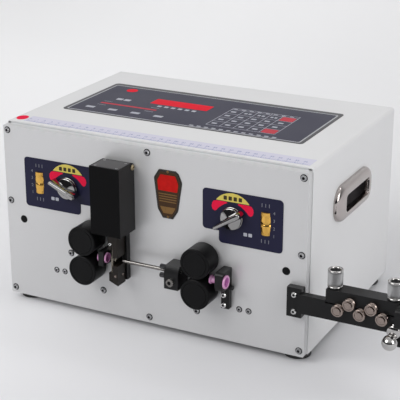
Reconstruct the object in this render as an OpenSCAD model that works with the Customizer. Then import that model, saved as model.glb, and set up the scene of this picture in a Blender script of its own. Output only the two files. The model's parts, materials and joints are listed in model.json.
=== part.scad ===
/* [Housing] */
// Outside width of the sheet cover
body_w = 400; // [400:1:440]
// Height of the housing above its feet
body_h = 223; // [223:1:240]
// Depth of the sheet cover behind the front plate
body_d = 265; // [262:1:300]
// Thickness of the cover, base and rear sheets
sheet_t = 1.5; // [1:0.1:2]
// Outside bend radius of the cover
cover_bend_r = 4; // [2.5:0.5:8]
// Thickness of the front plate
plate_t = 10; // [9.5:0.5:12]
// How far the cover stands above the front plate
plate_drop = 3; // [1:0.5:5]
// How far the cover stands beyond each side of the front plate
plate_inset = 1; // [0.5:0.5:2]
// Corner radius of the front plate
plate_corner_r = 2; // [1:0.5:4]

/* [Feet] */
// Height of a rubber foot
foot_h = 9; // [6:0.5:16]
// Radius of a rubber foot
foot_r = 13; // [10:0.5:15]
// Distance of a foot's middle from the side of the cover
foot_inset_x = 18; // [16:0.5:40]
// Distance of a foot's middle from the front and the rear
foot_inset_y = 24; // [20:0.5:40]

/* [Wire path] */
// Height of the wire above the underside of the housing
wire_up = 82; // [80:0.5:84]
// Distance of the wire in front of the front plate
wire_out = 17.5; // [17:0.25:18]

/* [Feed rollers] */
// Distance of the roller pairs from the middle of the machine
roller_x = 75; // [75:0.25:76]
// Length of a feed roller
roller_len = 26; // [22:0.5:28]
// Gap between the two rollers of a pair
roller_gap = 0.7; // [0.4:0.1:1.5]
// Radius of a roller shaft
shaft_r = 5; // [4:0.25:5.5]
// Module of the roller gears
gear_module = 1.5; // [1.48:0.01:1.52]
// Teeth on each roller gear
gear_teeth = 25; // [25:2:25]
// Travel of an upper roller when its lift knob is turned
lift_travel = 3.4; // [3:0.1:3.6]

/* [Knobs] */
// Distance of the lift knobs from the middle of the machine
knob_x = 108.7; // [107:0.1:110]
// Height of knobs and thumb nuts above the underside
knob_up = 153.5; // [153:0.25:155]
// Radius of a knob's round base
knob_r = 13.5; // [12:0.25:15]
// Reach of a knob's pointer from its axis
knob_reach = 25; // [20:0.5:27]
// Direction of the left knob's pointer at rest
left_knob_angle = 150; // [120:1:180]
// Direction of the right knob's pointer at rest
right_knob_angle = 210; // [180:1:240]
// Distance of the thumb nuts from the middle of the machine
nut_x = 149.3; // [148:0.1:151]
// Radius of a brass thumb nut
nut_r = 8; // [7.5:0.1:8.2]
// Height of a brass thumb nut
nut_h = 27; // [22:0.5:28]
// Travel of a thumb nut up or down from the middle
nut_travel = 2.5; // [1:0.1:2.5]

/* [Cutter] */
// Middle of the blade holders, left of the middle of the machine
cutter_x = 33; // [32.5:0.25:33.5]
// Stroke of each blade holder
blade_stroke = 4; // [3:0.25:4]
// Thickness of a blade
blade_t = 1; // [0.8:0.1:1.1]
// Width of the blade cover
guard_w = 39.5; // [39:0.25:42]
// Depth of the blade cover in front of the front plate
guard_d = 35; // [34:0.5:38]
// Height of the blade cover
guard_h = 83; // [80:0.5:84]

/* [Guide tube] */
// Outside radius of the guide tube
tube_r = 2.2; // [2:0.1:2.4]
// Bore radius of the guide tube
tube_bore_r = 1.5; // [1:0.1:1.6]
// Swing pivot of the tube block, right of the middle
tube_pivot_x = 43; // [42:0.25:43.5]

/* [Straightener] */
// Radius of a straightening wheel
wheel_r = 7.6; // [7:0.1:7.6]
// Distance along the wire from one wheel to the next
wheel_pitch = 12.55; // [12.5:0.05:13]
// Height difference of the upper and lower wheels
wheel_rise = 9.1; // [9.1:0.1:9.6]
// Middle of the straightener, out from the side of the housing
straight_out = 69; // [69:0.5:75]
// Length of the adjustable block
block_len = 82; // [80:0.5:82]
// Travel of the adjustable block
block_travel = 4; // [2:0.25:4]

/* [Handles] */
// Length of a handle frame
handle_len = 112; // [108:1:130]
// Height of a handle frame
handle_h = 44; // [42:1:52]
// How far a handle frame stands out
handle_out = 8; // [5:0.5:10]
// Depth of a handle pocket
pocket_depth = 34; // [26:1:36]

/* [Hidden] */
$fn = 48;

// Shared clearances: cuts run past faces, pieces that pass each other, and running fits
over = 1;
gap = 0.3;
fit = 0.05;
seat_gap = 0.1;
small_r = 1;

// Front plate and the inside of the cover
plate_w = body_w - 2 * plate_inset;
plate_h = body_h - plate_drop;
inner_half_w = body_w / 2 - sheet_t;
back_y = plate_t + body_d;
straight_x = body_w / 2 + straight_out;
label_t = 0.8;

// Screws in the front plate
head_r = 3.4;
head_h = 2;
head_rim_h = 1;
head_top_r = 2.6;
hex_r = 1.7;
hex_depth = 1.3;
thread_r = 2;
rim_inset = 6;
rim_rise = 7.5;
rim_mid_up = 124;
rim_screw_len = 18;
pillar_screw_len = 20;
rim_x = plate_w / 2 - rim_inset;
rim_places = [
    for (s = [-1, 1], z = [plate_h - rim_inset, rim_mid_up, rim_rise]) [s * rim_x, z],
    for (z = [plate_h - rim_inset, rim_rise]) [0, z]
];

// Round black plugs and pairs of small black screws
plug_r = 4.25;
plug_inset = 23.8;
plug_x = plate_w / 2 - plug_inset;
plug_up = 102;
pair_x = 118.2;
pair_pitch = 11.8;
pair_up = 43;

// Frame bars behind the front plate
bar_t = 12;
frame_top = body_h - sheet_t;

// Feed units, given for the right side and mirrored for the left
axis_rise = gear_module * gear_teeth / 2;
lower_z = wire_up - axis_rise;
upper_z = wire_up + axis_rise;
roller_r = axis_rise - roller_gap / 2;
roller_stand = 2.5;
roller_front = -roller_stand - roller_len;
roller_chamfer = 0.8;
cap_ring_r = 15.2;
cap_ring_w = 0.8;
cap_ring_depth = 0.6;
cap_wall = 3;
shaft_hole_gap = 1;
bearing_r = 11;
bearing_w = 6;
inner_plate_y = 50;
inner_plate_t = 6;
inner_plate_in = 29;
inner_plate_out = 43;
inner_plate_low = 18;
inner_plate_high = 124;
pillar_r = 5;
pillar_places = [[108, 69.6], [63.5, 29.3]];
rear_pillar = [104, 112];
motor_w = 56.4;
motor_corner = 4;
motor_len = 50;
motor_shaft_r = 4;
motor_shaft_len = 18;
gear_front = 36;
gear_w = 10;
gear_backlash = 0.35;
gear_pressure = 20;
gear_flank_steps = 3;
gear_root_share = 1.3;

// Bearing block and its guides
block_half_w = 15;
block_front = 14;
block_back = 32;
block_down = 14.75;
block_share = 0.4028;
block_up = block_share * (knob_up - upper_z);
strip_in = 6;
strip_out = 13;
strip_front = 14.5;
strip_t = 6;
arm_rise = 14.5;
arm_top = knob_up + arm_rise;
arm_end = 13;
rail_w = 4;
rail_low = 22;
rail_share = 0.6066;
rail_high = rail_share * (knob_up - upper_z);
rail_back = 34;

// Lift knob, its shaft and its cam
knob_base_h = 8;
knob_grip_h = 16;
knob_grip_w = 9.6;
knob_tip_w = 4;
knob_tail = 13;
knob_shaft_r = 4;
cam_r = 8;
cam_front = 16;
cam_t = 4;
cam_swing = 60;
cam_offset = lift_travel / (2 * sin(cam_swing));
cam_start = 180 + cam_swing;
cam_end = 1.7;
cam_top = knob_up + cam_offset * sin(cam_start) + cam_r;
arm_low = cam_top + gap;

// Thumb nut, its stud and the pressure bar
nut_y = 4;
nut_groove_r = 5.4;
nut_groove_h = 3.6;
nut_chamfer = 0.8;
stud_r = 2.5;
stud_seat = 5;
window_w = 17.5;
window_gap = 0.5;
window_h = nut_h + 2 * (nut_travel + window_gap);
fork_t = 3;
fork_out = 8.3;
fork_front = 3;
press_front = 22;
press_t = 8;
press_low = 5;
press_high = 5;
press_in = 9;
spring_r = 4.4;
spring_bore_r = 3;

// Dial panels and the plain badge
panel_in = 71.4;
panel_out = 170.2;
panel_drop = 32;
panel_step_drop = 18;
panel_rise = 30.5;
panel_low = knob_up - panel_drop;
panel_step_up = knob_up - panel_step_drop;
panel_step_x = 92;
panel_high = knob_up + panel_rise;
panel_corner_r = 4.5;
badge_x = 27;
badge_low = 138.5;
badge_w = 36;
badge_h = 58.5;
badge_t = 1.2;
badge_pin_r = 1.6;
badge_pin_h = 0.8;
badge_pin_inset = 2;
badge_shares = [
    [-0.3, 1], [0.3, 1], [0.46, 0.92], [0.5, 0.79], [0.47, 0.5],
    [0.38, 0.2], [0.3, 0.05], [0.19, 0], [-0.19, 0], [-0.3, 0.05],
    [-0.38, 0.2], [-0.47, 0.5], [-0.5, 0.79], [-0.46, 0.92]
];

// Blade holders, blades and the column that guides them
holder_right = cutter_x - 6;
holder_w = 12;
holder_front = 26;
column_t = 8;
holder_back = column_t + gap;
holder_gap = blade_stroke + 1;
upper_holder_h = 31;
lower_holder_h = 25;
holder_chamfer = 5;
blade_wide = 15;
blade_reach = 6;
blade_apex = blade_stroke;
blade_vee_w = 9;
blade_root = 22;
clamp_near = 14.5;
blade_inset = 6.8;
upper_blade_right = holder_right + blade_inset;
lower_blade_right = upper_blade_right + blade_t + gap;
column_half_w = 8;
column_drop = 28;
column_low = wire_up - column_drop;
column_wide_up = 13;
column_left = 51;
slot_half_w = 3.3;
tongue_w = 6;
tongue_h = 10;
tongue_inset = 2;
screw_y = 40;
lead_r = 5;
lead_low = 22;
nut_block_w = 16;
nut_block_d = 16;
nut_block_h = 14;
bracket_half_w = 12;
low_bracket_z = 24;
low_bracket_t = 8;
high_bracket_z = 128;
high_bracket_t = 10;
bracket_back = 50;
coupling_r = 9;
coupling_low = 141;
coupling_high = 160;
cutter_motor_z = 162;
cutter_plate_t = 4;
cutter_motor_share = 0.92;
cutter_motor_h = cutter_motor_share * (frame_top - bar_t - cutter_motor_z - cutter_plate_t);
cutter_shaft_share = 0.45;
cutter_shaft_len = cutter_shaft_share * cutter_motor_h;
cutter_plate_half_w = 30;
cutter_plate_back = 70;

// Blade cover and its hinge
guard_t = 1.5;
guard_low = 117;
guard_left = 56.5;
guard_stand = 0.5;
guard_high = guard_low + guard_h;
hinge_r = 5;
hinge_y = -guard_stand - hinge_r;
hinge_z = guard_high - hinge_r;
barrel_r = 3.2;
lug_top = 188;
lug_web_in = 0.4;
lug_web_out = 3;
pin_r = 2;
pin_head_r = 3.4;
pin_head_h = 1.6;
pin_len = 8;

// Outlet and inlet brackets with their ceramic eyelets
outlet_left = 54;
outlet_w = 7;
outlet_out = 25;
outlet_half_h = 9;
inlet_x = 98.4;
inlet_w = 10;
inlet_out = 24;
inlet_half_h = 11.5;
inlet_low = 43.5;
inlet_foot_t = 7;
inlet_corner_r = 5;
inlet_screw_x = 101.7;
inlet_screw_ups = [60.3, 47.9];
eyelet_r = 4;
eyelet_bore_r = 2.6;
eyelet_rim_t = 2.5;
outlet_rim_r = 6.5;
inlet_rim_r = 8;
inlet_nose_r = 6;
inlet_nose = 8.4;
end_rim_r = 8.5;

// Tube block, its pivot and the guide tube
tube_left = 24;
tube_block_half_w = 9;
tube_block_out = 25;
tube_block_in = 1;
tube_block_low = 62;
tube_block_high = 90;
tube_block_chamfer_y = 4.5;
tube_block_chamfer_z = 8;
pivot_r = 3;
pivot_up = 71.7;
pivot_head_r = 4.6;
pivot_head_h = 3;
actuator_r = 10.5;
actuator_len = 34;
actuator_flange_r = 11;
actuator_flange_t = 3;
pivot_in = 20;

// Straightener
mount_w = 17.7;
mount_right = body_w / 2 - 2 * plate_inset;
mount_left = mount_right - mount_w;
mount_out = 9;
mount_low = 52.8;
mount_high = 88;
mount_screw_x = mount_right - mount_w / 2;
mount_screw_ups = [79.8, 59.5];
bar_front = 14;
bar_back = 5;
bar_low = 61;
bar_high = 83.5;
bar_join = 2;
block_back_y = 5;
block_low = 81.8;
block_high = 97;
block_rest_gap = 1.8;
wheel_low_z = wire_up - 5.6;
wheel_high_z = wheel_low_z + wheel_rise;
wheel_w = 6.5;
wheel_front = -bar_front - gap - wheel_w;
wheel_groove = 1.8;
wheel_groove_w = 3.6;
axle_r = 2.5;
axle_head_r = 4;
axle_head_h = 1;
axle_seat = 7;
pin_x_offsets = [-2, 21];
pin_y = -11;
pin_low_depth = 8;
pin_hold = 7;
pin_high_depth = block_travel + pin_hold;
pin_clear = 1;
guide_pin_r = 1.6;
thumb_inset = 7;
thumb_y = -4.5;
thumb_head_r = 8.75;
thumb_head_h = 20;
thumb_recess_r = 5;
thumb_recess = 2;
thumb_shank_r = 3;
thumb_shank_len = 32;
thumb_bore_low = 64;
end_plate_t = 7;
end_plate_out = 27;
end_plate_low = 46;
end_plate_step = 71.8;
end_plate_high = 95;
clamp_inset = 2;
clamp_x = straight_x + block_len / 2 - clamp_inset;
clamp_z = 65;
clamp_hub_r = 5.5;
clamp_hub_out = 20;
clamp_stud_r = 3;
clamp_stud_in = 6;
ball_r = 8;
ball_y = -26.5;
ball_z = 57.5;
ball_x = clamp_x - 1.3;

// Membrane panel and the display under it
membrane_inset_left = 32;
membrane_inset_right = 44;
panel_left = body_w / 2 - membrane_inset_left;
panel_right = body_w / 2 - membrane_inset_right;
panel_front = 82;
panel_back = 217;
membrane_r = 5;
display_left = 84;
display_right = -8;
display_front = 156;
display_w = 14;
display_depth = 10;
board_t = 1.6;

// Handles in the sides of the cover
handle_y = 129;
handle_z = 156;
handle_corner_r = 20;
handle_slope = 7;
grip_y = 134;
grip_z = 154.5;
grip_len = 76;
grip_h = 21;
grip_corner_r = 5;
pocket_wall = 1.5;
pocket_extra = 4;

// Rear panel and what it carries
rear_recess = 8;
rear_y = back_y - rear_recess - sheet_t;
rear_screw_inset = 8;
vent_w = 3;
vent_h = 40;
vent_pitch = 8;
vent_count = 9;
vent_x = -60;
vent_z = 60;
inlet_plate_w = 50;
inlet_plate_h = 28;
inlet_plate_t = 3;
socket_inset = 60;
socket_x = body_w / 2 - socket_inset;
socket_z = 60;
socket_w = 25;
socket_h = 17;
socket_depth = 17;
socket_wall = 1.5;
socket_pin_w = 2;
socket_pin_h = 4;
socket_pin_pitch = 7;
socket_pin_len = 11;
socket_corner_r = 2;
rocker_pitch = 50;
rocker_x = socket_x - rocker_pitch;
rocker_w = 13;
rocker_h = 19;
rocker_frame = 3;
rocker_depth = 14;
rocker_tilt = 10;
rocker_r = 12;
rocker_top = 3.5;
rocker_floor = 4;

// Power supply and control board
supply_share = 0.4975;
supply_w = supply_share * body_w;
supply_d = 98;
supply_h = 38;
supply_inset = 40;
supply_back = 12.5;
supply_x = supply_inset - body_w / 2;
supply_y = rear_y - supply_back - supply_d;
supply_hole_r = 2.5;
supply_hole_pitch = 12;
supply_terminal_w = 80;
supply_terminal_h = 14;
supply_terminal_d = 14;
board_share = 0.3;
board_inset = 20;
board_back = 40.5;
board_w = board_share * body_w;
board_d = 100;
board_x = body_w / 2 - board_inset - board_w;
board_y = rear_y - board_back - board_d;
board_up = 10;
board_post_r = 3;
board_post_inset = 6;
driver_inset = 20;
driver_w = (board_w - 4 * board_post_inset) / 3;
driver_d = 40;
driver_h = 21;

// The assembly stands with its floor face at zero and its outer box centred
x_low = -body_w / 2 - handle_out;
x_high = straight_x + block_len / 2 + gap + end_plate_t + eyelet_rim_t;
mid_x = (x_high + x_low) / 2;
mid_y = (back_y - guard_d) / 2;

module place() {
    translate([-mid_x, -mid_y, foot_h]) children();
}

// A box between low and high limits along each axis
module span(x, y, z) {
    translate([x[0], y[0], z[0]]) cube([x[1] - x[0], y[1] - y[0], z[1] - z[0]]);
}

module rod_x(r, x0, x1) {
    translate([x0, 0, 0]) rotate([0, 90, 0]) cylinder(r = r, h = x1 - x0);
}

module rod_y(r, y0, y1) {
    translate([0, y0, 0]) rotate([-90, 0, 0]) cylinder(r = r, h = y1 - y0);
}

module rod_z(r, z0, z1) {
    translate([0, 0, z0]) cylinder(r = r, h = z1 - z0);
}

// A flat outline in X and Z, thickened from y0 to y1
module slab_y(y0, y1) {
    translate([0, y1, 0]) rotate([90, 0, 0]) linear_extrude(y1 - y0) children();
}

// A flat outline in Y and Z, thickened from x0 to x1
module slab_x(x0, x1) {
    translate([x0, 0, 0]) rotate([90, 0, 90]) linear_extrude(x1 - x0) children();
}

module rounded_rect(w, h, r) {
    square([w - 2 * r, h], center = true);
    square([w, h - 2 * r], center = true);
    for (sx = [-1, 1], sy = [-1, 1])
        translate([sx * (w / 2 - r), sy * (h / 2 - r)]) circle(r);
}

// A rounded rectangle between low and high limits
module rounded_span(x, y, r) {
    translate([(x[0] + x[1]) / 2, (y[0] + y[1]) / 2]) rounded_rect(x[1] - x[0], y[1] - y[0], r);
}

// A round body about the Y axis, its outline given as [radius, y]
module turned_y(points) {
    rotate([-90, 0, 0]) rotate_extrude() polygon(points);
}

module right_side(s) {
    if (s > 0) children();
    else mirror([1, 0, 0]) children();
}

// A hexagon recess cut into a face that looks to the front at y
module hex_socket(r, y) {
    translate([0, y + hex_depth, 0]) rotate([90, 0, 0]) cylinder(r = r, h = hex_depth + over, $fn = 6);
}

// A socket screw whose head faces the front, seated at the origin
module socket_screw(length) {
    difference() {
        union() {
            turned_y([
                [0, -head_h], [head_top_r, -head_h], [head_r, -head_rim_h], [head_r, 0], [0, 0]
            ]);
            rod_y(thread_r, -head_rim_h, length);
        }
        hex_socket(hex_r, -head_h);
    }
}

module front_plate() {
    color("gainsboro") difference() {
        slab_y(0, plate_t) translate([0, plate_h / 2]) rounded_rect(plate_w, plate_h, plate_corner_r);
        for (p = concat(rim_places, pillar_screw_places()))
            translate([p[0], 0, p[1]]) rod_y(thread_r + seat_gap, -over, plate_t + over);
        for (s = [-1, 1]) right_side(s) {
            translate([roller_x, 0, lower_z]) {
                rod_y(shaft_r + shaft_hole_gap, -over, plate_t + over);
                rod_y(bearing_r + fit, plate_t - bearing_w, plate_t + over);
            }
            upper_slot(-over, plate_t + over);
            translate([knob_x, 0, knob_up]) rod_y(knob_shaft_r + fit, -over, plate_t + over);
            nut_window(-over, plate_t + over);
            translate([nut_x, nut_y, knob_up])
                rod_z(stud_r, -window_h / 2 - stud_seat, window_h / 2 + stud_seat);
        }
        span(
            [-cutter_x - slot_half_w, -cutter_x + slot_half_w], [-over, plate_t + over],
            [lower_tongue_z() - blade_stroke, upper_tongue_z() + tongue_h + blade_stroke]
        );
        translate([tube_pivot_x, 0, pivot_up]) rod_y(pivot_r + fit, -over, plate_t + over);
        for (z = inlet_screw_ups)
            translate([inlet_screw_x, 0, z]) rod_y(thread_r + seat_gap, -over, plate_t - over);
        for (z = mount_screw_ups)
            translate([mount_screw_x, 0, z]) rod_y(thread_r + seat_gap, -over, plate_t - over);
    }
}

// The inlet bracket stands over one of the pillars, which has no screw in front
function pillar_screw_places() = [
    for (s = [-1, 1], p = pillar_places) if (s < 0 || p[0] < inlet_x) [s * p[0], p[1]]
];

// The opening that lets an upper shaft rise
module upper_slot(y0, y1) {
    hole_r = shaft_r + shaft_hole_gap;
    for (z = [upper_z, upper_z + lift_travel])
        translate([roller_x, 0, z]) rod_y(hole_r, y0, y1);
    span([roller_x - hole_r, roller_x + hole_r], [y0, y1], [upper_z, upper_z + lift_travel]);
}

module nut_window(y0, y1) {
    span(
        [nut_x - window_w / 2, nut_x + window_w / 2], [y0, y1],
        [knob_up - window_h / 2, knob_up + window_h / 2]
    );
}

module top_cover() {
    color("whitesmoke") difference() {
        slab_y(plate_t, back_y) difference() {
            cover_outline(body_w / 2, body_h, cover_bend_r);
            translate([0, -over])
                cover_outline(inner_half_w, body_h - sheet_t + over, cover_bend_r - sheet_t);
        }
        for (s = [-1, 1]) right_side(s)
            slab_x(inner_half_w - over, body_w / 2 + over) pocket_outline(seat_gap);
        span(
            [-display_left, -display_right], [display_front, display_front + display_w],
            [body_h - sheet_t - over, body_h + over]
        );
    }
}

// A sheet section that is square at its foot and round at its top corners
module cover_outline(half_w, high, r) {
    translate([-half_w, 0]) square([2 * half_w, high - r]);
    translate([-half_w + r, 0]) square([2 * (half_w - r), high]);
    for (s = [-1, 1]) translate([s * (half_w - r), high - r]) circle(r);
}

module base_plate() {
    half_w = inner_half_w - seat_gap;
    color("silver") difference() {
        union() {
            span([-half_w, half_w], [plate_t, back_y - rear_recess - sheet_t], [0, sheet_t]);
            for (s = [-1, 1]) right_side(s)
                span(
                    [half_w - sheet_t, half_w], [plate_t + bar_t, back_y - rear_recess - sheet_t],
                    [0, bar_t]
                );
        }
        feet_places() rod_z(thread_r + seat_gap, -over, sheet_t + over);
    }
}

module feet_places() {
    for (sx = [-1, 1], y = [foot_inset_y, back_y - foot_inset_y])
        translate([sx * (body_w / 2 - foot_inset_x), y, 0]) children();
}

module feet() {
    foot_taper = 1;
    washer_r = 6;
    color("black") feet_places() difference() {
        translate([0, 0, -foot_h]) cylinder(r1 = foot_r - foot_taper, r2 = foot_r, h = foot_h);
        rod_z(washer_r, -foot_h - over, -foot_h / 2);
        rod_z(thread_r + seat_gap, -foot_h, over);
    }
}

module rear_panel() {
    half_w = inner_half_w - seat_gap;
    color("whitesmoke") difference() {
        slab_y(rear_y, rear_y + sheet_t)
            cover_outline(half_w, body_h - sheet_t - seat_gap, cover_bend_r - sheet_t);
        for (p = rear_places()) translate([p[0], 0, p[1]])
            rod_y(thread_r + seat_gap, rear_y - over, rear_y + sheet_t + over);
        for (row = [0, 1], i = [0:vent_count - 1])
            span(
                [vent_x + i * vent_pitch, vent_x + i * vent_pitch + vent_w],
                [rear_y - over, rear_y + sheet_t + over],
                [vent_z + row * (vent_h + vent_pitch), vent_z + row * (vent_h + vent_pitch) + vent_h]
            );
        socket_body(rear_y - over, rear_y + sheet_t + over, seat_gap);
        rocker_body(rear_y - over, rear_y + sheet_t + over, seat_gap);
    }
}

function rear_places() = [
    for (s = [-1, 1], z = [rear_screw_inset, body_h / 2, body_h - rear_screw_inset - sheet_t])
        [s * (inner_half_w - rear_screw_inset), z]
];

module socket_body(y0, y1, more) {
    w = socket_w + 2 * (socket_wall + more);
    h = socket_h + 2 * (socket_wall + more);
    slab_y(y0, y1) translate([socket_x, socket_z]) rounded_rect(w, h, socket_corner_r);
}

module rocker_body(y0, y1, more) {
    w = rocker_w + 2 * (socket_wall + more);
    h = rocker_h + 2 * (socket_wall + more);
    slab_y(y0, y1) translate([rocker_x, socket_z]) square([w, h], center = true);
}

module power_inlet() {
    y = rear_y + sheet_t;
    pin_back = y - socket_depth + inlet_plate_t;
    color("dimgray") {
        difference() {
            union() {
                slab_y(y, y + inlet_plate_t) translate([socket_x, socket_z])
                    rounded_rect(inlet_plate_w, inlet_plate_h, socket_corner_r);
                socket_body(pin_back - socket_wall, y, 0);
            }
            slab_y(pin_back, y + inlet_plate_t + over) translate([socket_x, socket_z])
                rounded_rect(socket_w, socket_h, socket_corner_r);
        }
        for (i = [-1, 0, 1])
            translate([socket_x + i * socket_pin_pitch, pin_back, socket_z])
                span(
                    [-socket_pin_w / 2, socket_pin_w / 2], [0, socket_pin_len],
                    [-socket_pin_h / 2, socket_pin_h / 2]
                );
        difference() {
            union() {
                slab_y(y, y + socket_wall) translate([rocker_x, socket_z])
                    square([rocker_w + 2 * rocker_frame, rocker_h + 2 * rocker_frame], center = true);
                rocker_body(y - rocker_depth, y, 0);
            }
            slab_y(y - rocker_depth + rocker_floor, y + socket_wall + over)
                translate([rocker_x, socket_z]) square([rocker_w, rocker_h], center = true);
        }
    }
}

// The rocker tips about a pin along X that is held in the switch housing
module power_switch() {
    y = rear_y + sheet_t;
    half = rocker_w / 2 - gap;
    face = rocker_h / 2 - 2 * gap;
    color("black") translate([rocker_x, y, socket_z]) rotate([-rocker_tilt, 0, 0]) intersection() {
        rod_x(rocker_r - rocker_floor + gap, -half, half);
        span([-half, half], [-rocker_floor, rocker_top], [-face, face]);
    }
}

module front_frame() {
    half_w = inner_half_w - seat_gap;
    high = frame_top - seat_gap;
    color("silver") difference() {
        slab_y(plate_t, plate_t + bar_t) difference() {
            translate([-half_w, sheet_t]) square([2 * half_w, high - sheet_t - cover_bend_r]);
            translate([-half_w + bar_t, sheet_t + bar_t])
                square([2 * (half_w - bar_t), high - sheet_t - 2 * bar_t]);
        }
        for (p = rim_places)
            translate([p[0], 0, p[1]]) rod_y(thread_r + seat_gap, plate_t - over, plate_t + bar_t + over);
    }
    color("silver") slab_y(plate_t, plate_t + bar_t)
        translate([-half_w + cover_bend_r, high - cover_bend_r])
            square([2 * (half_w - cover_bend_r), cover_bend_r]);
}

// Mouth of a handle pocket in the side of the cover
module pocket_outline(more) {
    w = grip_len + 2 * (pocket_extra + pocket_wall + more);
    h = grip_h + 2 * (pocket_extra + pocket_wall + more);
    translate([grip_y, grip_z]) rounded_rect(w, h, grip_corner_r + pocket_wall);
}

module handle_frames() {
    color("silver") for (s = [-1, 1]) right_side(s) difference() {
        translate([body_w / 2, 0, 0]) hull() {
            handle_layer(0, 0);
            handle_layer(handle_out - 2 * small_r, small_r);
            handle_layer(handle_out - small_r / 2, handle_slope);
        }
        slab_x(body_w / 2 - over, body_w / 2 + handle_out + over)
            translate([grip_y, grip_z]) rounded_rect(grip_len, grip_h, grip_corner_r);
    }
}

module handle_layer(out, inset) {
    slab_x(out, out + small_r / 2) translate([handle_y, handle_z])
        rounded_rect(handle_len - 2 * inset, handle_h - 2 * inset, handle_corner_r - inset);
}

module handle_pockets() {
    color("black") for (s = [-1, 1]) right_side(s) difference() {
        slab_x(body_w / 2 - pocket_depth, body_w / 2) pocket_outline(0);
        slab_x(body_w / 2 - pocket_depth + pocket_wall, body_w / 2 + over) pocket_outline(-pocket_wall);
    }
}

module housing_screws() {
    color("silver") {
        for (p = rim_places) translate([p[0], 0, p[1]]) socket_screw(rim_screw_len);
        for (p = pillar_screw_places()) translate([p[0], 0, p[1]]) socket_screw(pillar_screw_len);
        for (z = inlet_screw_ups) translate([inlet_screw_x, -inlet_foot_t, z])
            socket_screw(inlet_foot_t + plate_t - 2 * over);
        for (z = mount_screw_ups) translate([mount_screw_x, -mount_out, z])
            socket_screw(mount_out + plate_t - 2 * over);
        for (p = rear_places()) translate([p[0], rear_y + sheet_t, p[1]])
            rotate([0, 0, 180]) socket_screw(sheet_t + small_r);
        for (s = [-1, 1]) translate([s * nut_x, nut_y, knob_up]) {
            half = window_h / 2 + stud_seat - seat_gap;
            rod_z(stud_r - seat_gap, -half, half);
        }
    }
    color("goldenrod") for (s = [-1, 1]) translate([-(guard_left - guard_w / 2), 0, 0]) right_side(s)
        translate([0, hinge_y, hinge_z]) {
            rod_x(pin_r, guard_w / 2 - pin_len, guard_w / 2 + gap);
            rod_x(pin_head_r, guard_w / 2 + gap, guard_w / 2 + gap + pin_head_h);
        }
}

module black_screws() {
    color("black") {
        for (s = [-1, 1]) translate([s * plug_x, 0, plug_up]) rod_y(plug_r, -small_r, 0);
        for (s = [-1, 1], x = [pair_x, pair_x + pair_pitch]) translate([s * x, 0, pair_up])
            rod_y(thread_r, -small_r / 2, 0);
    }
}

module control_panel() {
    color("lightsteelblue") translate([0, 0, body_h]) linear_extrude(label_t)
        rounded_span([-panel_left, panel_right], [panel_front, panel_back], membrane_r);
}

module face_panels() {
    color("midnightblue") for (s = [-1, 1]) right_side(s) difference() {
        slab_y(-label_t, 0) {
            rounded_span([panel_in, panel_out], [panel_step_up, panel_high], panel_corner_r);
            rounded_span([panel_step_x, panel_out], [panel_low, panel_high], panel_corner_r);
        }
        nut_window(-label_t - over, over);
        translate([knob_x, 0, knob_up]) rod_y(knob_shaft_r + small_r, -label_t - over, over);
    }
    color("saddlebrown") {
        slab_y(-badge_t, 0) translate([badge_x, badge_low])
            polygon([for (p = badge_shares) [p[0] * badge_w, p[1] * badge_h]]);
        for (z = [badge_low + badge_pin_inset, badge_low + badge_h - badge_pin_inset])
            translate([badge_x, 0, z]) rod_y(badge_pin_r, -badge_t - badge_pin_h, -badge_t);
    }
}

// Points of a gear, each tooth's flanks following an involute from its base circle

function involute_turn(r, base_r) =
    r <= base_r ? 0 : sqrt(pow(r / base_r, 2) - 1) * 180 / PI - acos(base_r / r);

function gear_points() =
    let (
        pitch_r = axis_rise,
        base_r = pitch_r * cos(gear_pressure),
        tip_r = pitch_r + gear_module - gap,
        root_r = pitch_r - gear_root_share * gear_module,
        half_turn = 90 / gear_teeth - gear_backlash / 4 / pitch_r * 180 / PI,
        at_base = half_turn + involute_turn(pitch_r, base_r),
        flank = [
            for (i = [0:gear_flank_steps])
                let (r = base_r + (tip_r - base_r) * i / gear_flank_steps)
                    [r, at_base - involute_turn(r, base_r)]
        ],
        left = concat([[root_r, at_base]], flank)
    )
    [
        for (tooth = [0:gear_teeth - 1])
            for (p = concat(
                [for (q = left) [q[0], -q[1]]],
                [for (i = [len(left) - 1:-1:0]) left[i]]
            ))
                let (a = tooth * 360 / gear_teeth + p[1]) [p[0] * cos(a), p[0] * sin(a)]
    ];

module gear(turned) {
    slab_y(gear_front, gear_front + gear_w) rotate(turned) difference() {
        polygon(gear_points());
        circle(shaft_r);
    }
}

// Rollers and shafts

module roller() {
    front = roller_front;
    back = -roller_stand;
    c = roller_chamfer;
    color("#1c1c1e") turned_y([
        [0, front], [cap_ring_r - cap_ring_w, front],
        [cap_ring_r - cap_ring_w, front + cap_ring_depth], [cap_ring_r, front + cap_ring_depth],
        [cap_ring_r, front], [roller_r - c, front], [roller_r, front + c],
        [roller_r, back - c], [roller_r - c, back],
        [shaft_r + fit, back], [shaft_r + fit, front + cap_wall], [0, front + cap_wall]
    ]);
}

module lower_shaft() {
    color("silver") {
        rod_y(shaft_r, roller_front + cap_wall, inner_plate_y + inner_plate_t);
        rod_y(motor_shaft_r, inner_plate_y, inner_plate_y + inner_plate_t + motor_shaft_len);
        gear(0);
    }
}

module upper_shaft() {
    color("silver") {
        rod_y(shaft_r, roller_front + cap_wall, gear_front + gear_w);
        gear(180 / gear_teeth);
    }
}

module at_lower(s) {
    right_side(s) translate([roller_x, 0, lower_z]) children();
}

module at_upper(s) {
    right_side(s) translate([roller_x, 0, upper_z]) children();
}

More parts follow.
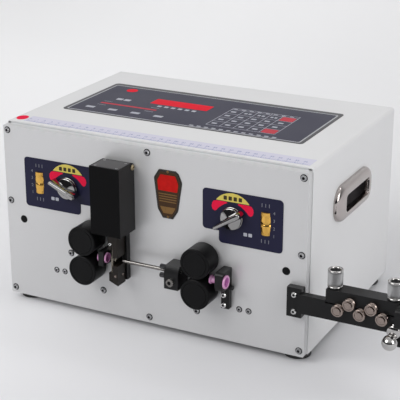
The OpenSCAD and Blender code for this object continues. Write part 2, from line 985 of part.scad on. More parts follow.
// The sliding block that carries an upper shaft, with the lift arm above the cam
module bearing_block() {
    color("slategray") translate([roller_x, 0, 0]) difference() {
        union() {
            span(
                [-block_half_w, block_half_w], [block_front, block_back],
                [upper_z - block_down, upper_z + block_up]
            );
            span(
                [-strip_in, strip_out], [strip_front, strip_front + strip_t],
                [upper_z + block_up, arm_top]
            );
            span(
                [-strip_in, knob_x - roller_x + arm_end], [strip_front, strip_front + strip_t],
                [arm_low, arm_top]
            );
        }
        translate([0, 0, upper_z]) rod_y(shaft_r + fit, block_front - over, block_back + over);
    }
}

module shaft_bearings() {
    color("lightgray") for (s = [-1, 1]) at_lower(s)
        for (y = [plate_t - bearing_w, inner_plate_y])
            difference() {
                rod_y(bearing_r, y, y + bearing_w);
                rod_y(shaft_r + fit, y - over, y + bearing_w + over);
            }
}

module inner_frames() {
    color("lightslategray") {
        for (s = [-1, 1]) right_side(s) {
            inner_plate();
            for (side = [-1, 1]) rail(side);
            for (p = pillar_places) translate([p[0], 0, p[1]]) difference() {
                rod_y(pillar_r, plate_t, inner_plate_y);
                rod_y(thread_r + seat_gap, plate_t - over, pillar_screw_len + over);
            }
            translate([rear_pillar[0], 0, rear_pillar[1]]) rod_y(pillar_r, plate_t, inner_plate_y);
        }
        screw_bracket(low_bracket_z, low_bracket_t);
        screw_bracket(high_bracket_z, high_bracket_t);
        difference() {
            span(
                [-cutter_x - cutter_plate_half_w, -cutter_x + cutter_plate_half_w],
                [plate_t, cutter_plate_back], [cutter_motor_z, cutter_motor_z + cutter_plate_t]
            );
            translate([-cutter_x, screw_y, 0])
                rod_z(coupling_r, cutter_motor_z - over, cutter_motor_z + cutter_plate_t + over);
        }
    }
}

module inner_plate() {
    difference() {
        span(
            [roller_x - inner_plate_in, roller_x + inner_plate_out],
            [inner_plate_y, inner_plate_y + inner_plate_t], [inner_plate_low, inner_plate_high]
        );
        translate([roller_x, inner_plate_y, lower_z])
            rod_y(bearing_r + fit, -over, inner_plate_t + over);
    }
}

// A guide rail beside the bearing block, standing on the back of the front plate
module rail(side) {
    near = block_half_w + gap;
    translate([roller_x, 0, 0]) right_side(side) span(
        [near, near + rail_w], [plate_t, rail_back], [upper_z - rail_low, upper_z + rail_high]
    );
}

module screw_bracket(z, t) {
    difference() {
        span([-cutter_x - bracket_half_w, -cutter_x + bracket_half_w], [plate_t, bracket_back], [z, z + t]);
        translate([-cutter_x, screw_y, 0]) rod_z(lead_r + fit, z - over, z + t + over);
    }
}

// A square motor with cut corners, standing up from the origin, with a bore for the shaft it turns
module motor(length, shaft_len) {
    difference() {
        linear_extrude(length) intersection() {
            square(motor_w, center = true);
            rotate(45) square(motor_w * sqrt(2) - motor_corner, center = true);
        }
        rod_z(motor_shaft_r + fit, -over, shaft_len + small_r);
    }
}

module feed_motors() {
    color("#26262a") for (s = [-1, 1]) at_lower(s)
        translate([0, inner_plate_y + inner_plate_t, 0]) rotate([-90, 0, 0]) motor(motor_len, motor_shaft_len);
}

// Pressure bar with the fork that follows the thumb nut
module pressure_bar() {
    color("slategray") {
        span(
            [roller_x - press_in, nut_x + fork_out], [press_front, press_front + press_t],
            [knob_up - press_low, knob_up + press_high]
        );
        difference() {
            span(
                [nut_x - fork_out, nut_x + fork_out], [fork_front, press_front],
                [knob_up - fork_t / 2, knob_up + fork_t / 2]
            );
            translate([nut_x, nut_y, knob_up]) {
                rod_z(nut_groove_r + gap, -fork_t, fork_t);
                span(
                    [-nut_groove_r - gap, nut_groove_r + gap],
                    [fork_front - nut_y - over, 0], [-fork_t, fork_t]
                );
            }
        }
    }
}

module pressure_spring() {
    color("silver") translate([roller_x, press_front + press_t / 2, 0]) difference() {
        rod_z(spring_r, upper_z + block_up + gap, knob_up - press_low - gap);
        rod_z(spring_bore_r, upper_z + block_up, knob_up - press_low);
    }
}

module thumb_nut() {
    h = nut_h / 2;
    g = nut_groove_h / 2;
    c = nut_chamfer;
    color("goldenrod") translate([nut_x, nut_y, knob_up]) rotate_extrude() polygon([
        [stud_r + fit, -h], [nut_r - c, -h], [nut_r, -h + c], [nut_r, -g],
        [nut_groove_r, -g], [nut_groove_r, g], [nut_r, g], [nut_r, h - c],
        [nut_r - c, h], [stud_r + fit, h]
    ]);
}

// A lift knob with its pointer, shaft and cam
module lift_knob(angle) {
    base_back = -label_t - gap;
    cam_back = cam_front + cam_t;
    color("silver") translate([knob_x, 0, knob_up]) {
        turned_y([
            [0, base_back], [knob_r, base_back], [knob_r, base_back - knob_base_h + small_r],
            [knob_r - small_r, base_back - knob_base_h], [0, base_back - knob_base_h]
        ]);
        slab_y(-knob_grip_h, base_back - small_r) rotate(angle) polygon([
            [-knob_tail, -knob_grip_w / 2], [knob_tail, -knob_grip_w / 2],
            [knob_reach, -knob_tip_w / 2], [knob_reach, knob_tip_w / 2],
            [knob_tail, knob_grip_w / 2], [-knob_tail, knob_grip_w / 2]
        ]);
        rod_y(knob_shaft_r, base_back - small_r, cam_back + cam_end);
        translate([cam_offset * cos(cam_start), 0, cam_offset * sin(cam_start)])
            rod_y(cam_r, cam_front, cam_back);
    }
}

// Cutter

function upper_tongue_z() = wire_up + holder_gap + tongue_h;

function lower_tongue_z() = wire_up - holder_gap - 2 * tongue_h;

module blade_cover() {
    color("#18181a") translate([-guard_left, 0, 0]) difference() {
        slab_x(0, guard_w) guard_outline(0);
        slab_x(guard_t, guard_w - guard_t) guard_outline(guard_t);
        translate([0, hinge_y, hinge_z]) rod_x(pin_r + fit, -over, guard_w + over);
    }
}

// Side view of the cover, round about its hinge at the top and back
module guard_outline(inset) {
    r = hinge_r - inset;
    back = -guard_stand + (inset > 0 ? over : 0);
    low = guard_low - (inset > 0 ? over : 0);
    translate([-guard_d + inset, low]) square([guard_d - inset + hinge_y, guard_high - inset - low]);
    translate([-guard_d + inset, low]) square([guard_d - inset + back, hinge_z - low]);
    translate([hinge_y, hinge_z]) circle(r);
}

module cutter_column() {
    color("#202022") {
        difference() {
            union() {
                span(
                    [-cutter_x - column_half_w, -cutter_x + column_half_w], [-column_t, 0],
                    [column_low, lug_top]
                );
                span(
                    [-column_left, -cutter_x + column_half_w], [-column_t, 0],
                    [wire_up + column_wide_up, lug_top]
                );
            }
            span(
                [-cutter_x - slot_half_w, -cutter_x + slot_half_w], [-column_t - over, over],
                [lower_tongue_z() - blade_stroke, upper_tongue_z() + tongue_h + blade_stroke]
            );
        }
        difference() {
            union() {
                translate([0, hinge_y, hinge_z])
                    rod_x(barrel_r, -guard_left + guard_t + gap, -guard_left + guard_w - guard_t - gap);
                span(
                    [-column_left, -cutter_x + column_half_w],
                    [hinge_y - lug_web_out, hinge_y - lug_web_in], [lug_top - bar_t, hinge_z]
                );
            }
            translate([0, hinge_y, hinge_z])
                for (x = [-guard_left, -guard_left + guard_w])
                    rod_x(pin_r + seat_gap, x - pin_len - seat_gap, x + pin_len + seat_gap);
        }
    }
}

// A blade holder above the wire, its front clamp, tongue and nut; the lower one is its mirror image
module holder_half(high, blade_right, root_right) {
    left = -holder_right - holder_w;
    near = wire_up + holder_gap;
    tongue_z = near + tongue_h;
    body_left = -blade_right;
    difference() {
        union() {
            span([body_left, -holder_right], [-holder_front, -holder_back], [near, near + high]);
            span(
                [-root_right, -holder_right], [-holder_front, -holder_back],
                [wire_up + clamp_near, near + high]
            );
            span(
                [left, -root_right - blade_t], [-holder_front, -holder_back],
                [wire_up + clamp_near, near + high]
            );
            span(
                [left, -holder_right], [-holder_front, -holder_back],
                [wire_up + blade_root + small_r, near + high]
            );
            span([-cutter_x - tongue_w / 2, -cutter_x + tongue_w / 2],
                [-holder_back - small_r, screw_y - lead_r - small_r], [tongue_z, tongue_z + tongue_h]);
            span(
                [-cutter_x - nut_block_w / 2, -cutter_x + nut_block_w / 2],
                [screw_y - nut_block_d / 2, screw_y + nut_block_d / 2],
                [tongue_z - tongue_inset, tongue_z - tongue_inset + nut_block_h]
            );
        }
        translate([-cutter_x, screw_y, tongue_z]) rod_z(lead_r + fit, -nut_block_h, 2 * nut_block_h);
    }
}

module below_wire() {
    translate([0, 0, 2 * wire_up]) mirror([0, 0, 1]) children();
}

module upper_blade_holder() {
    color("#202022") holder_half(upper_holder_h, upper_blade_right, upper_blade_right);
}

module lower_blade_holder() {
    color("#202022") difference() {
        below_wire() holder_half(lower_holder_h, upper_blade_right - gap, lower_blade_right);
        translate([-holder_right, 0, wire_up - holder_gap - lower_holder_h])
            slab_y(-holder_front - over, -holder_back + over) polygon([
                [-holder_w - over, -over], [0, -over], [0, 0],
                [-holder_w, holder_chamfer], [-holder_w - over, holder_chamfer]
            ]);
    }
}

// A thin blade with a vee that faces the wire
module blade(right) {
    y = -wire_out;
    slab_x(-right - blade_t, -right) polygon([
        [y - blade_wide / 2, wire_up - blade_reach], [y - blade_vee_w / 2, wire_up - blade_reach],
        [y, wire_up + blade_apex], [y + blade_vee_w / 2, wire_up - blade_reach],
        [y + blade_wide / 2, wire_up - blade_reach], [y + blade_wide / 2, wire_up + blade_root],
        [y - blade_wide / 2, wire_up + blade_root]
    ]);
}

module upper_blade() {
    color("lightgray") blade(upper_blade_right);
}

module lower_blade() {
    color("lightgray") below_wire() blade(lower_blade_right);
}

module lead_screw() {
    color("silver") translate([-cutter_x, screw_y, 0]) {
        rod_z(lead_r, lead_low, coupling_low);
        rod_z(coupling_r - small_r, coupling_low, coupling_high);
        rod_z(motor_shaft_r, coupling_high, cutter_motor_z + cutter_plate_t + cutter_shaft_len);
    }
}

module cutter_motor() {
    color("#26262a") translate([-cutter_x, screw_y, cutter_motor_z + cutter_plate_t])
        motor(cutter_motor_h, cutter_shaft_len);
}

// Wire guides

module guide_brackets() {
    color("#202022") {
        difference() {
            span(
                [-outlet_left, -outlet_left + outlet_w], [-outlet_out, 0],
                [wire_up - outlet_half_h, wire_up + outlet_half_h]
            );
            on_wire() rod_x(eyelet_r + seat_gap, -outlet_left - over, -outlet_left + outlet_w + over);
        }
        difference() {
            union() {
                slab_x(inlet_x, inlet_x + inlet_w) rounded_span(
                    [-inlet_out, 0], [wire_up - inlet_half_h, wire_up + inlet_half_h], inlet_corner_r
                );
                span([inlet_x, inlet_x + inlet_w], [-inlet_foot_t, 0], [inlet_low, wire_up + inlet_half_h]);
            }
            on_wire() rod_x(eyelet_r + seat_gap, inlet_x - over, inlet_x + inlet_w + over);
            for (z = inlet_screw_ups) translate([inlet_screw_x, 0, z])
                rod_y(thread_r + seat_gap, -inlet_foot_t - over, over);
        }
    }
}

module on_wire() {
    translate([0, -wire_out, wire_up]) children();
}

// A ceramic ring with a flange at its outer end, from x0 towards x1
module eyelet(x0, x1, rim_r) {
    r = rim_t_round();
    on_wire() difference() {
        union() {
            rod_x(eyelet_r, min(x0, x1), max(x0, x1));
            translate([x0, 0, 0]) right_side(x1 - x0) rotate([0, 90, 0]) rotate_extrude() polygon([
                [0, 0], [rim_r - r, 0], [rim_r, r], [rim_r, eyelet_rim_t - r],
                [rim_r - r, eyelet_rim_t], [0, eyelet_rim_t]
            ]);
        }
        rod_x(eyelet_bore_r, min(x0, x1) - over, max(x0, x1) + over);
    }
}

function rim_t_round() = eyelet_rim_t / 4;

module eyelets() {
    outlet_mid = -outlet_left + outlet_w / 2;
    end_x = end_plate_x() + end_plate_t;
    color("plum") {
        eyelet(-outlet_left - eyelet_rim_t, outlet_mid, outlet_rim_r);
        eyelet(-outlet_left + outlet_w + eyelet_rim_t, outlet_mid, outlet_rim_r);
        eyelet(inlet_x - inlet_nose, inlet_x + inlet_w / 2, inlet_nose_r);
        eyelet(inlet_x + inlet_w + eyelet_rim_t, inlet_x + inlet_w / 2, inlet_rim_r);
        eyelet(end_x + eyelet_rim_t, end_x - end_plate_t, end_rim_r);
    }
}

module tube_block() {
    right = tube_pivot_x + tube_block_half_w;
    left = tube_pivot_x - tube_block_half_w;
    color("#202022") {
        difference() {
            slab_x(left, right) polygon([
                [-tube_block_out, tube_block_low], [-tube_block_in, tube_block_low],
                [-tube_block_in, tube_block_high], [-tube_block_out + tube_block_chamfer_y, tube_block_high],
                [-tube_block_out, tube_block_high - tube_block_chamfer_z]
            ]);
            on_wire() rod_x(tube_r + fit, left - over, right + over);
            translate([tube_pivot_x, 0, pivot_up])
                rod_y(pivot_r + seat_gap, -tube_block_out - over, over);
        }
        translate([tube_pivot_x, 0, pivot_up]) {
            rod_y(pivot_r, -tube_block_out, plate_t + pivot_in);
            difference() {
                rod_y(pivot_head_r, -tube_block_out - pivot_head_h, -tube_block_out);
                hex_socket(pivot_head_r / 2, -tube_block_out - pivot_head_h);
            }
        }
    }
}

module guide_tube() {
    color("silver") on_wire() difference() {
        rod_x(tube_r, -tube_left, tube_pivot_x + tube_block_half_w);
        rod_x(tube_bore_r, -tube_left - over, tube_pivot_x + tube_block_half_w + over);
    }
}

module tube_actuator() {
    color("#26262a") translate([tube_pivot_x, 0, pivot_up]) difference() {
        union() {
            rod_y(actuator_r, plate_t, plate_t + actuator_len);
            rod_y(actuator_flange_r, plate_t, plate_t + actuator_flange_t);
        }
        rod_y(pivot_r + fit, plate_t - over, plate_t + pivot_in + small_r);
    }
}

// Straightener

function end_plate_x() = straight_x + block_len / 2 + gap;

function wheel_x(i) = straight_x + (i - 2) * wheel_pitch;

module straightener_bar() {
    block_left = straight_x - block_len / 2;
    end_x = end_plate_x();
    rail_high_z = block_low - block_rest_gap;
    color("#202022") difference() {
        union() {
            span([mount_left, mount_right], [-mount_out, 0], [mount_low, mount_high]);
            span([mount_right - bar_join, block_left - gap], [-bar_front, -bar_back], [bar_low, bar_high]);
            span([block_left - bar_join, end_x], [-bar_front, block_back_y], [bar_low, rail_high_z]);
            slab_x(end_x, end_x + end_plate_t) {
                rounded_span(
                    [-end_plate_out, block_back_y], [end_plate_step, end_plate_high], inlet_corner_r
                );
                rounded_span([-bar_front, block_back_y], [end_plate_low, end_plate_high], small_r);
            }
        }
        for (z = mount_screw_ups) translate([mount_screw_x, 0, z])
            rod_y(thread_r + seat_gap, -mount_out - over, over);
        on_wire() rod_x(eyelet_r + seat_gap, end_x - over, end_x + end_plate_t + over);
        for (s = [-1, 1]) translate([straight_x + s * (block_len / 2 - thumb_inset), thumb_y, 0])
            rod_z(thumb_shank_r + fit, thumb_bore_low, rail_high_z + over);
        for (i = [0, 2, 4]) translate([wheel_x(i), 0, wheel_low_z])
            rod_y(axle_r, -bar_front - over, -bar_front + axle_seat);
        for (x = pin_x_offsets) translate([straight_x + x, pin_y, 0])
            rod_z(guide_pin_r, rail_high_z - pin_low_depth, rail_high_z + over);
        translate([clamp_x, -bar_front, clamp_z])
            rod_y(clamp_stud_r + fit, -over, clamp_stud_in + small_r);
    }
    color("silver") {
        for (i = [0, 2, 4]) translate([wheel_x(i), 0, wheel_low_z]) axle();
        for (x = pin_x_offsets) translate([straight_x + x, pin_y, 0])
            rod_z(guide_pin_r - fit / 2, rail_high_z - pin_low_depth + fit, block_low + pin_high_depth);
    }
}

// A shouldered screw that a straightening wheel turns on
module axle() {
    rod_y(axle_r - fit / 2, wheel_front - gap, -bar_front + axle_seat - fit);
    rod_y(axle_head_r, wheel_front - gap - axle_head_h, wheel_front - gap);
}

module straightener_block() {
    color("#202022") difference() {
        span(
            [straight_x - block_len / 2, straight_x + block_len / 2],
            [-bar_front, block_back_y], [block_low, block_high]
        );
        for (s = [-1, 1]) translate([straight_x + s * (block_len / 2 - thumb_inset), thumb_y, 0])
            rod_z(thumb_shank_r + fit, block_low - over, block_high + over);
        for (i = [1, 3]) translate([wheel_x(i), 0, wheel_high_z])
            rod_y(axle_r, -bar_front - over, -bar_front + axle_seat);
        for (x = pin_x_offsets) translate([straight_x + x, pin_y, 0])
            rod_z(guide_pin_r + fit, block_low - over, block_low + pin_high_depth + pin_clear);
    }
    color("silver") for (i = [1, 3]) translate([wheel_x(i), 0, wheel_high_z]) axle();
}

module straightener_wheel(i) {
    z = i % 2 == 0 ? wheel_low_z : wheel_high_z;
    back = wheel_front + wheel_w;
    mid = (wheel_front + back) / 2;
    g = wheel_groove_w / 2;
    c = small_r / 2;
    color("rosybrown") translate([wheel_x(i), 0, z]) turned_y([
        [axle_r + fit, wheel_front], [wheel_r - c, wheel_front], [wheel_r, wheel_front + c],
        [wheel_r, mid - g], [wheel_r - wheel_groove, mid], [wheel_r, mid + g],
        [wheel_r, back - c], [wheel_r - c, back], [axle_r + fit, back]
    ]);
}

module thumb_screw(s) {
    c = small_r / 2;
    color("silver") translate([straight_x + s * (block_len / 2 - thumb_inset), thumb_y, block_high + gap]) {
        rotate_extrude() polygon([
            [0, 0], [thumb_head_r - c, 0], [thumb_head_r, c], [thumb_head_r, thumb_head_h - c],
            [thumb_head_r - c, thumb_head_h], [thumb_recess_r, thumb_head_h],
            [thumb_recess_r, thumb_head_h - thumb_recess], [0, thumb_head_h - thumb_recess]
        ]);
        rod_z(thumb_shank_r, -thumb_shank_len, 0);
    }
}

// The clamp of the end guide, a collar with a ball on a slanted stem
module clamp_knob() {
    hub_y = -clamp_hub_out;
    color("silver") {
        translate([clamp_x, 0, clamp_z]) {
            rod_y(clamp_hub_r, hub_y, -bar_front - gap);
            rod_y(clamp_stud_r, -bar_front - gap, -bar_front + clamp_stud_in);
        }
        translate([ball_x, ball_y, ball_z]) sphere(ball_r);
    }
}

// Electrical parts

module power_supply() {
    color("lightgray") difference() {
        span(
            [supply_x, supply_x + supply_w], [supply_y, supply_y + supply_d],
            [sheet_t, sheet_t + supply_h]
        );
        span(
            [supply_x + supply_w - supply_terminal_d, supply_x + supply_w + over],
            [supply_y + small_r, supply_y + supply_terminal_w],
            [sheet_t + supply_terminal_h, sheet_t + supply_h + over]
        );
        for (i = [1:floor((supply_w - supply_terminal_d) / supply_hole_pitch) - 1], j = [1:6])
            translate([supply_x + i * supply_hole_pitch, supply_y + j * supply_hole_pitch, 0])
                rod_z(supply_hole_r, sheet_t + supply_h - small_r, sheet_t + supply_h + over);
    }
}

module control_board() {
    z = sheet_t + board_up;
    color("darkgreen") {
        span([board_x, board_x + board_w], [board_y, board_y + board_d], [z, z + board_t]);
        for (x = [board_x + board_post_inset, board_x + board_w - board_post_inset])
            for (y = [board_y + board_post_inset, board_y + board_d - board_post_inset])
                translate([x, y, 0]) rod_z(board_post_r, sheet_t, z);
        for (i = [0:2])
            span(
                [board_x + board_post_inset + i * (driver_w + board_post_inset),
                 board_x + board_post_inset + i * (driver_w + board_post_inset) + driver_w],
                [board_y + driver_inset, board_y + driver_inset + driver_d],
                [z + board_t, z + board_t + driver_h]
            );
        span(
            [-display_left + gap, -display_right - gap],
            [display_front + gap, display_front + display_w - gap],
            [body_h - display_depth, body_h]
        );
    }
}

module left_lower_roller() { at_lower(-1) roller(); }
module right_lower_roller() { at_lower(1) roller(); }
module left_upper_roller() { at_upper(-1) roller(); }
module right_upper_roller() { at_upper(1) roller(); }
module left_lower_shaft() { at_lower(-1) lower_shaft(); }
module right_lower_shaft() { at_lower(1) lower_shaft(); }
module left_upper_shaft() { at_upper(-1) upper_shaft(); }
module right_upper_shaft() { at_upper(1) upper_shaft(); }
module left_bearing_block() { right_side(-1) bearing_block(); }
module right_bearing_block() { bearing_block(); }
module left_pressure_bar() { right_side(-1) pressure_bar(); }
module right_pressure_bar() { pressure_bar(); }
module left_spring() { right_side(-1) pressure_spring(); }
module right_spring() { pressure_spring(); }
module left_thumb_nut() { right_side(-1) thumb_nut(); }
module right_thumb_nut() { thumb_nut(); }
module left_lift_knob() { translate([-2 * knob_x, 0, 0]) lift_knob(left_knob_angle); }
module right_lift_knob() { lift_knob(right_knob_angle); }

place() front_plate();
place() top_cover();
place() base_plate();
place() rear_panel();
place() front_frame();
place() feet();
place() handle_frames();
place() handle_pockets();
place() housing_screws();
place() black_screws();
place() control_panel();
place() face_panels();
place() power_inlet();
place() power_switch();
place() power_supply();
place() control_board();
place() left_lower_roller();
place() left_upper_roller();
place() right_lower_roller();
place() right_upper_roller();
place() left_lower_shaft();
place() left_upper_shaft();
place() right_lower_shaft();
place() right_upper_shaft();
place() left_bearing_block();
place() right_bearing_block();
place() shaft_bearings();
place() inner_frames();
place() feed_motors();
place() left_pressure_bar();
place() right_pressure_bar();
place() left_spring();
place() right_spring();
place() left_thumb_nut();
place() right_thumb_nut();
place() left_lift_knob();
place() right_lift_knob();
place() blade_cover();
place() cutter_column();
place() upper_blade_holder();
place() lower_blade_holder();
place() upper_blade();
place() lower_blade();
place() lead_screw();
place() cutter_motor();
place() guide_brackets();
place() eyelets();
place() tube_block();
place() guide_tube();
place() tube_actuator();
place() straightener_bar();
place() straightener_block();
place() straightener_wheel(0);  // straightener_wheel_1
place() straightener_wheel(1);  // straightener_wheel_2
place() straightener_wheel(2);  // straightener_wheel_3
place() straightener_wheel(3);  // straightener_wheel_4
place() straightener_wheel(4);  // straightener_wheel_5
place() thumb_screw(-1);  // left_thumb_screw
place() thumb_screw(1);  // right_thumb_screw
place() clamp_knob();
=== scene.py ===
# Wire stripping machine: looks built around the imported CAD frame
import json
import math

import bmesh
import bpy
from mathutils import Matrix, Vector


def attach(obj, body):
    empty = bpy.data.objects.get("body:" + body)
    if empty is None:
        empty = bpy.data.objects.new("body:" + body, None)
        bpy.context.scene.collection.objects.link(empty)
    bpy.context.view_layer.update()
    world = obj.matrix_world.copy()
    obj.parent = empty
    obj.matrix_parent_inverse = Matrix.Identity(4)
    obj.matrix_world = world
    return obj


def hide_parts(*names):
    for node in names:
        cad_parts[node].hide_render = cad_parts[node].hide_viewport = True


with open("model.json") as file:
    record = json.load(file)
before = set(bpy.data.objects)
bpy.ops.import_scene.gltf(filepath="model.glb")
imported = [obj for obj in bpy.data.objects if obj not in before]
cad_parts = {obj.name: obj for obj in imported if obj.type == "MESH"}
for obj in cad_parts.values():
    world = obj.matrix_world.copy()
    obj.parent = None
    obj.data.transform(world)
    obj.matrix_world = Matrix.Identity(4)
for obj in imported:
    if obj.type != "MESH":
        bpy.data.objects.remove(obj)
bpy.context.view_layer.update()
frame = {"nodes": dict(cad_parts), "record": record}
scene = bpy.context.scene
scene.view_settings.view_transform = "Standard"
cadNodes = frame["nodes"]
bodyOf = {n: b for b, members in frame["record"]["behaviour"]["bodies"].items() for n in members}
# The machine's own drawing has X = 0 in the middle, Y = 0 at the plate's front face and Z = 0 under
# the housing, in millimetres. Everything below is drawn there and moved into the frame at the end.
drawingShift = Vector((-55.9, -120.0, 9.0))
drawingToFrame = Matrix.Scale(0.001, 4) @ Matrix.Translation(drawingShift)
coverTop = 223.0
wireLine = (0, -17.5, 82.0)
print("frame loaded:", len(cadNodes), "nodes")


# camera, floor and light, in metres
view = {"place": (0.6096, -1.2825, 0.6598), "yaw": 27.21, "pitch": 20.28, "lens": 111.32, "filmWidth": 36.0,
        "farthest": 50.0}
paper = {  # painted light on the floor: its tones, and from where to where each of them comes in
    "near": (0.62, 0.62, 0.64), "left": (0.775, 0.775, 0.795), "right": (0.77, 0.77, 0.79),
    "far": (0.80, 0.80, 0.81), "leftRange": (0.20, -0.26), "rightRange": (0.14, 0.34),
    "farRange": (-0.7, 1.5), "slant": 0.45,  # the far tone's edge runs askew by this share
    "glowRange": (0.15, -0.9), "glowLeft": 0.20, "glowRight": 0.06, "roughness": 0.85, "specular": 0.1,
}
sweep = {"front": -9.0, "bend": 1.3, "radius": 0.9, "top": 4.0, "side": 8.0, "steps": 12}
sky = {"low": (0.045, 0.045, 0.05), "top": (1.0, 1.0, 1.0), "range": (0.2, 0.7), "strength": 0.62,
       "seen": (1.25, 1.25, 1.27)}
softboxes = {  # place, what it faces, size and power
    "keyLight": ((-0.95, -1.6, 1.45), (0, 0, 0.1), (1.4, 1.4), 26.0),
    "topLight": ((0.2, 0.5, 2.2), (0, 0, 0.1), (1.6, 1.2), 2.2),
    "sideLight": ((1.9, -0.5, 0.9), (0.1, 0, 0.12), (1.0, 1.4), 16.2),
    "backdropLight": ((0.0, 0.9, 2.3), (0.0, 2.2, 0.8), (2.4, 0.5), 10.0),
}


def addMath(tree, operation, a, b=None, clamp=False):
    node = tree.nodes.new("ShaderNodeMath")
    node.operation, node.use_clamp = operation, clamp
    for socket, value in zip(node.inputs, (a, b)):
        if isinstance(value, (int, float)):
            socket.default_value = value
        elif value is not None:
            tree.links.new(value, socket)
    return node.outputs[0]


def rangeShare(tree, value, limits, kind="SMOOTHSTEP"):
    # 0 at the first limit, 1 at the second
    node = tree.nodes.new("ShaderNodeMapRange")
    node.interpolation_type = kind
    node.inputs["From Min"].default_value, node.inputs["From Max"].default_value = limits
    tree.links.new(value, node.inputs["Value"])
    return node.outputs["Result"]


def mixColours(tree, share, first, second):
    # each colour is a plain tuple or a socket
    node = tree.nodes.new("ShaderNodeMix")
    node.data_type = "RGBA"
    tree.links.new(share, node.inputs["Factor"])
    for socket, colour in ((node.inputs[6], first), (node.inputs[7], second)):
        if isinstance(colour, tuple):
            socket.default_value = (*colour, 1)
        else:
            tree.links.new(colour, socket)
    return node.outputs[2]


def addCamera():
    data = bpy.data.cameras.new("photoCamera")
    data.lens, data.sensor_width, data.clip_end = view["lens"], view["filmWidth"], view["farthest"]
    camera = bpy.data.objects.new("photoCamera", data)
    camera.location = view["place"]
    camera.rotation_euler = (math.radians(90 - view["pitch"]), 0, math.radians(view["yaw"]))
    scene.collection.objects.link(camera)
    scene.camera = camera


def makePaper():
    # painted light: lighter to the left and far away, and the far part glows a little behind the object
    material = bpy.data.materials.new("studioPaper")
    material.use_nodes = True
    tree = material.node_tree
    shader = tree.nodes["Principled BSDF"]
    shader.inputs["Roughness"].default_value = paper["roughness"]
    shader.inputs["Specular IOR Level"].default_value = paper["specular"]
    shader.inputs["Emission Color"].default_value = (1, 1, 1, 1)
    split = tree.nodes.new("ShaderNodeSeparateXYZ")
    tree.links.new(tree.nodes.new("ShaderNodeTexCoord").outputs["Object"], split.inputs[0])
    across, along = split.outputs["X"], split.outputs["Y"]
    slant = addMath(tree, "SUBTRACT", along, addMath(tree, "MULTIPLY", across, paper["slant"]))
    far = rangeShare(tree, slant, paper["farRange"])
    tone = mixColours(tree, rangeShare(tree, across, paper["leftRange"]), paper["near"], paper["left"])
    tone = mixColours(tree, rangeShare(tree, across, paper["rightRange"]), tone, paper["right"])
    tree.links.new(mixColours(tree, far, tone, paper["far"]), shader.inputs["Base Color"])
    rays = tree.nodes.new("ShaderNodeLightPath")
    seen = addMath(tree, "ADD", rays.outputs["Is Camera Ray"], rays.outputs["Is Glossy Ray"], True)
    gain = addMath(tree, "MULTIPLY", rangeShare(tree, across, paper["glowRange"]),
                   paper["glowLeft"] - paper["glowRight"])
    glow = addMath(tree, "MULTIPLY", far, addMath(tree, "ADD", gain, paper["glowRight"]))
    tree.links.new(addMath(tree, "MULTIPLY", glow, seen), shader.inputs["Emission Strength"])
    return material


def addFloor():
    # one sheet: floor, a wide sweep and the backdrop
    bend, radius = sweep["bend"], sweep["radius"]
    profile = [(sweep["front"], 0.0), (bend, 0.0)]
    for i in range(1, sweep["steps"] + 1):
        turn = math.radians(90 * i / sweep["steps"])
        profile.append((bend + radius * math.sin(turn), radius - radius * math.cos(turn)))
    profile.append((bend + radius, sweep["top"]))
    sheet = bmesh.new()
    rows = [[sheet.verts.new((x, y, z)) for y, z in profile] for x in (-sweep["side"], sweep["side"])]
    for i in range(len(profile) - 1):
        sheet.faces.new((rows[0][i], rows[1][i], rows[1][i + 1], rows[0][i + 1]))
    mesh = bpy.data.meshes.new("studioSweep")
    sheet.to_mesh(mesh)
    sheet.free()
    mesh.materials.append(makePaper())
    mesh.shade_smooth()
    floor = bpy.data.objects.new("studioSweep", mesh)
    scene.collection.objects.link(floor)


def addSky():
    # dark at the horizon and light above it for the object, pale for the camera
    world = bpy.data.worlds.new("studioSky")
    scene.world = world
    world.use_nodes = True
    tree = world.node_tree
    split = tree.nodes.new("ShaderNodeSeparateXYZ")
    tree.links.new(tree.nodes.new("ShaderNodeTexCoord").outputs["Generated"], split.inputs[0])
    height = rangeShare(tree, split.outputs["Z"], sky["range"], "LINEAR")
    tone = mixColours(tree, height, sky["low"], sky["top"])
    seen = tree.nodes.new("ShaderNodeLightPath").outputs["Is Camera Ray"]
    tree.links.new(mixColours(tree, seen, tone, sky["seen"]), tree.nodes["Background"].inputs["Color"])
    tree.nodes["Background"].inputs["Strength"].default_value = sky["strength"]


def addSoftboxes():
    for name, (place, target, size, power) in softboxes.items():
        data = bpy.data.lights.new(name, "AREA")
        data.shape, data.energy = "RECTANGLE", power
        data.size, data.size_y = size
        lamp = bpy.data.objects.new(name, data)
        lamp.location = place
        lamp.rotation_euler = (Vector(target) - Vector(place)).to_track_quat("-Z", "Y").to_euler()
        scene.collection.objects.link(lamp)


addCamera()
addFloor()
addSky()
addSoftboxes()
print("camera and studio set")


# shader groups that several finishes share
def newGroup(name, inputs, outputs):
    # gives the tree, the place on the piece, the sockets that come in and those that go out
    group = bpy.data.node_groups.new(name, "ShaderNodeTree")
    for label, kind, value in inputs:
        socket = group.interface.new_socket(label, in_out="INPUT", socket_type="NodeSocket" + kind)
        socket.default_value = value
    for label, kind in outputs:
        group.interface.new_socket(label, in_out="OUTPUT", socket_type="NodeSocket" + kind)
    place = group.nodes.new("ShaderNodeTexCoord").outputs["Object"]
    return group, place, group.nodes.new("NodeGroupInput").outputs, group.nodes.new("NodeGroupOutput").inputs


def addNoise(tree, vector, scale, detail=3.0):
    node = tree.nodes.new("ShaderNodeTexNoise")
    node.inputs["Detail"].default_value = detail
    tree.links.new(vector, node.inputs["Vector"])
    if isinstance(scale, (int, float)):
        node.inputs["Scale"].default_value = scale
    else:
        tree.links.new(scale, node.inputs["Scale"])
    return node.outputs[0]


def contrast(tree, value, start, gain):
    return addMath(tree, "MULTIPLY", addMath(tree, "SUBTRACT", value, start), gain, True)


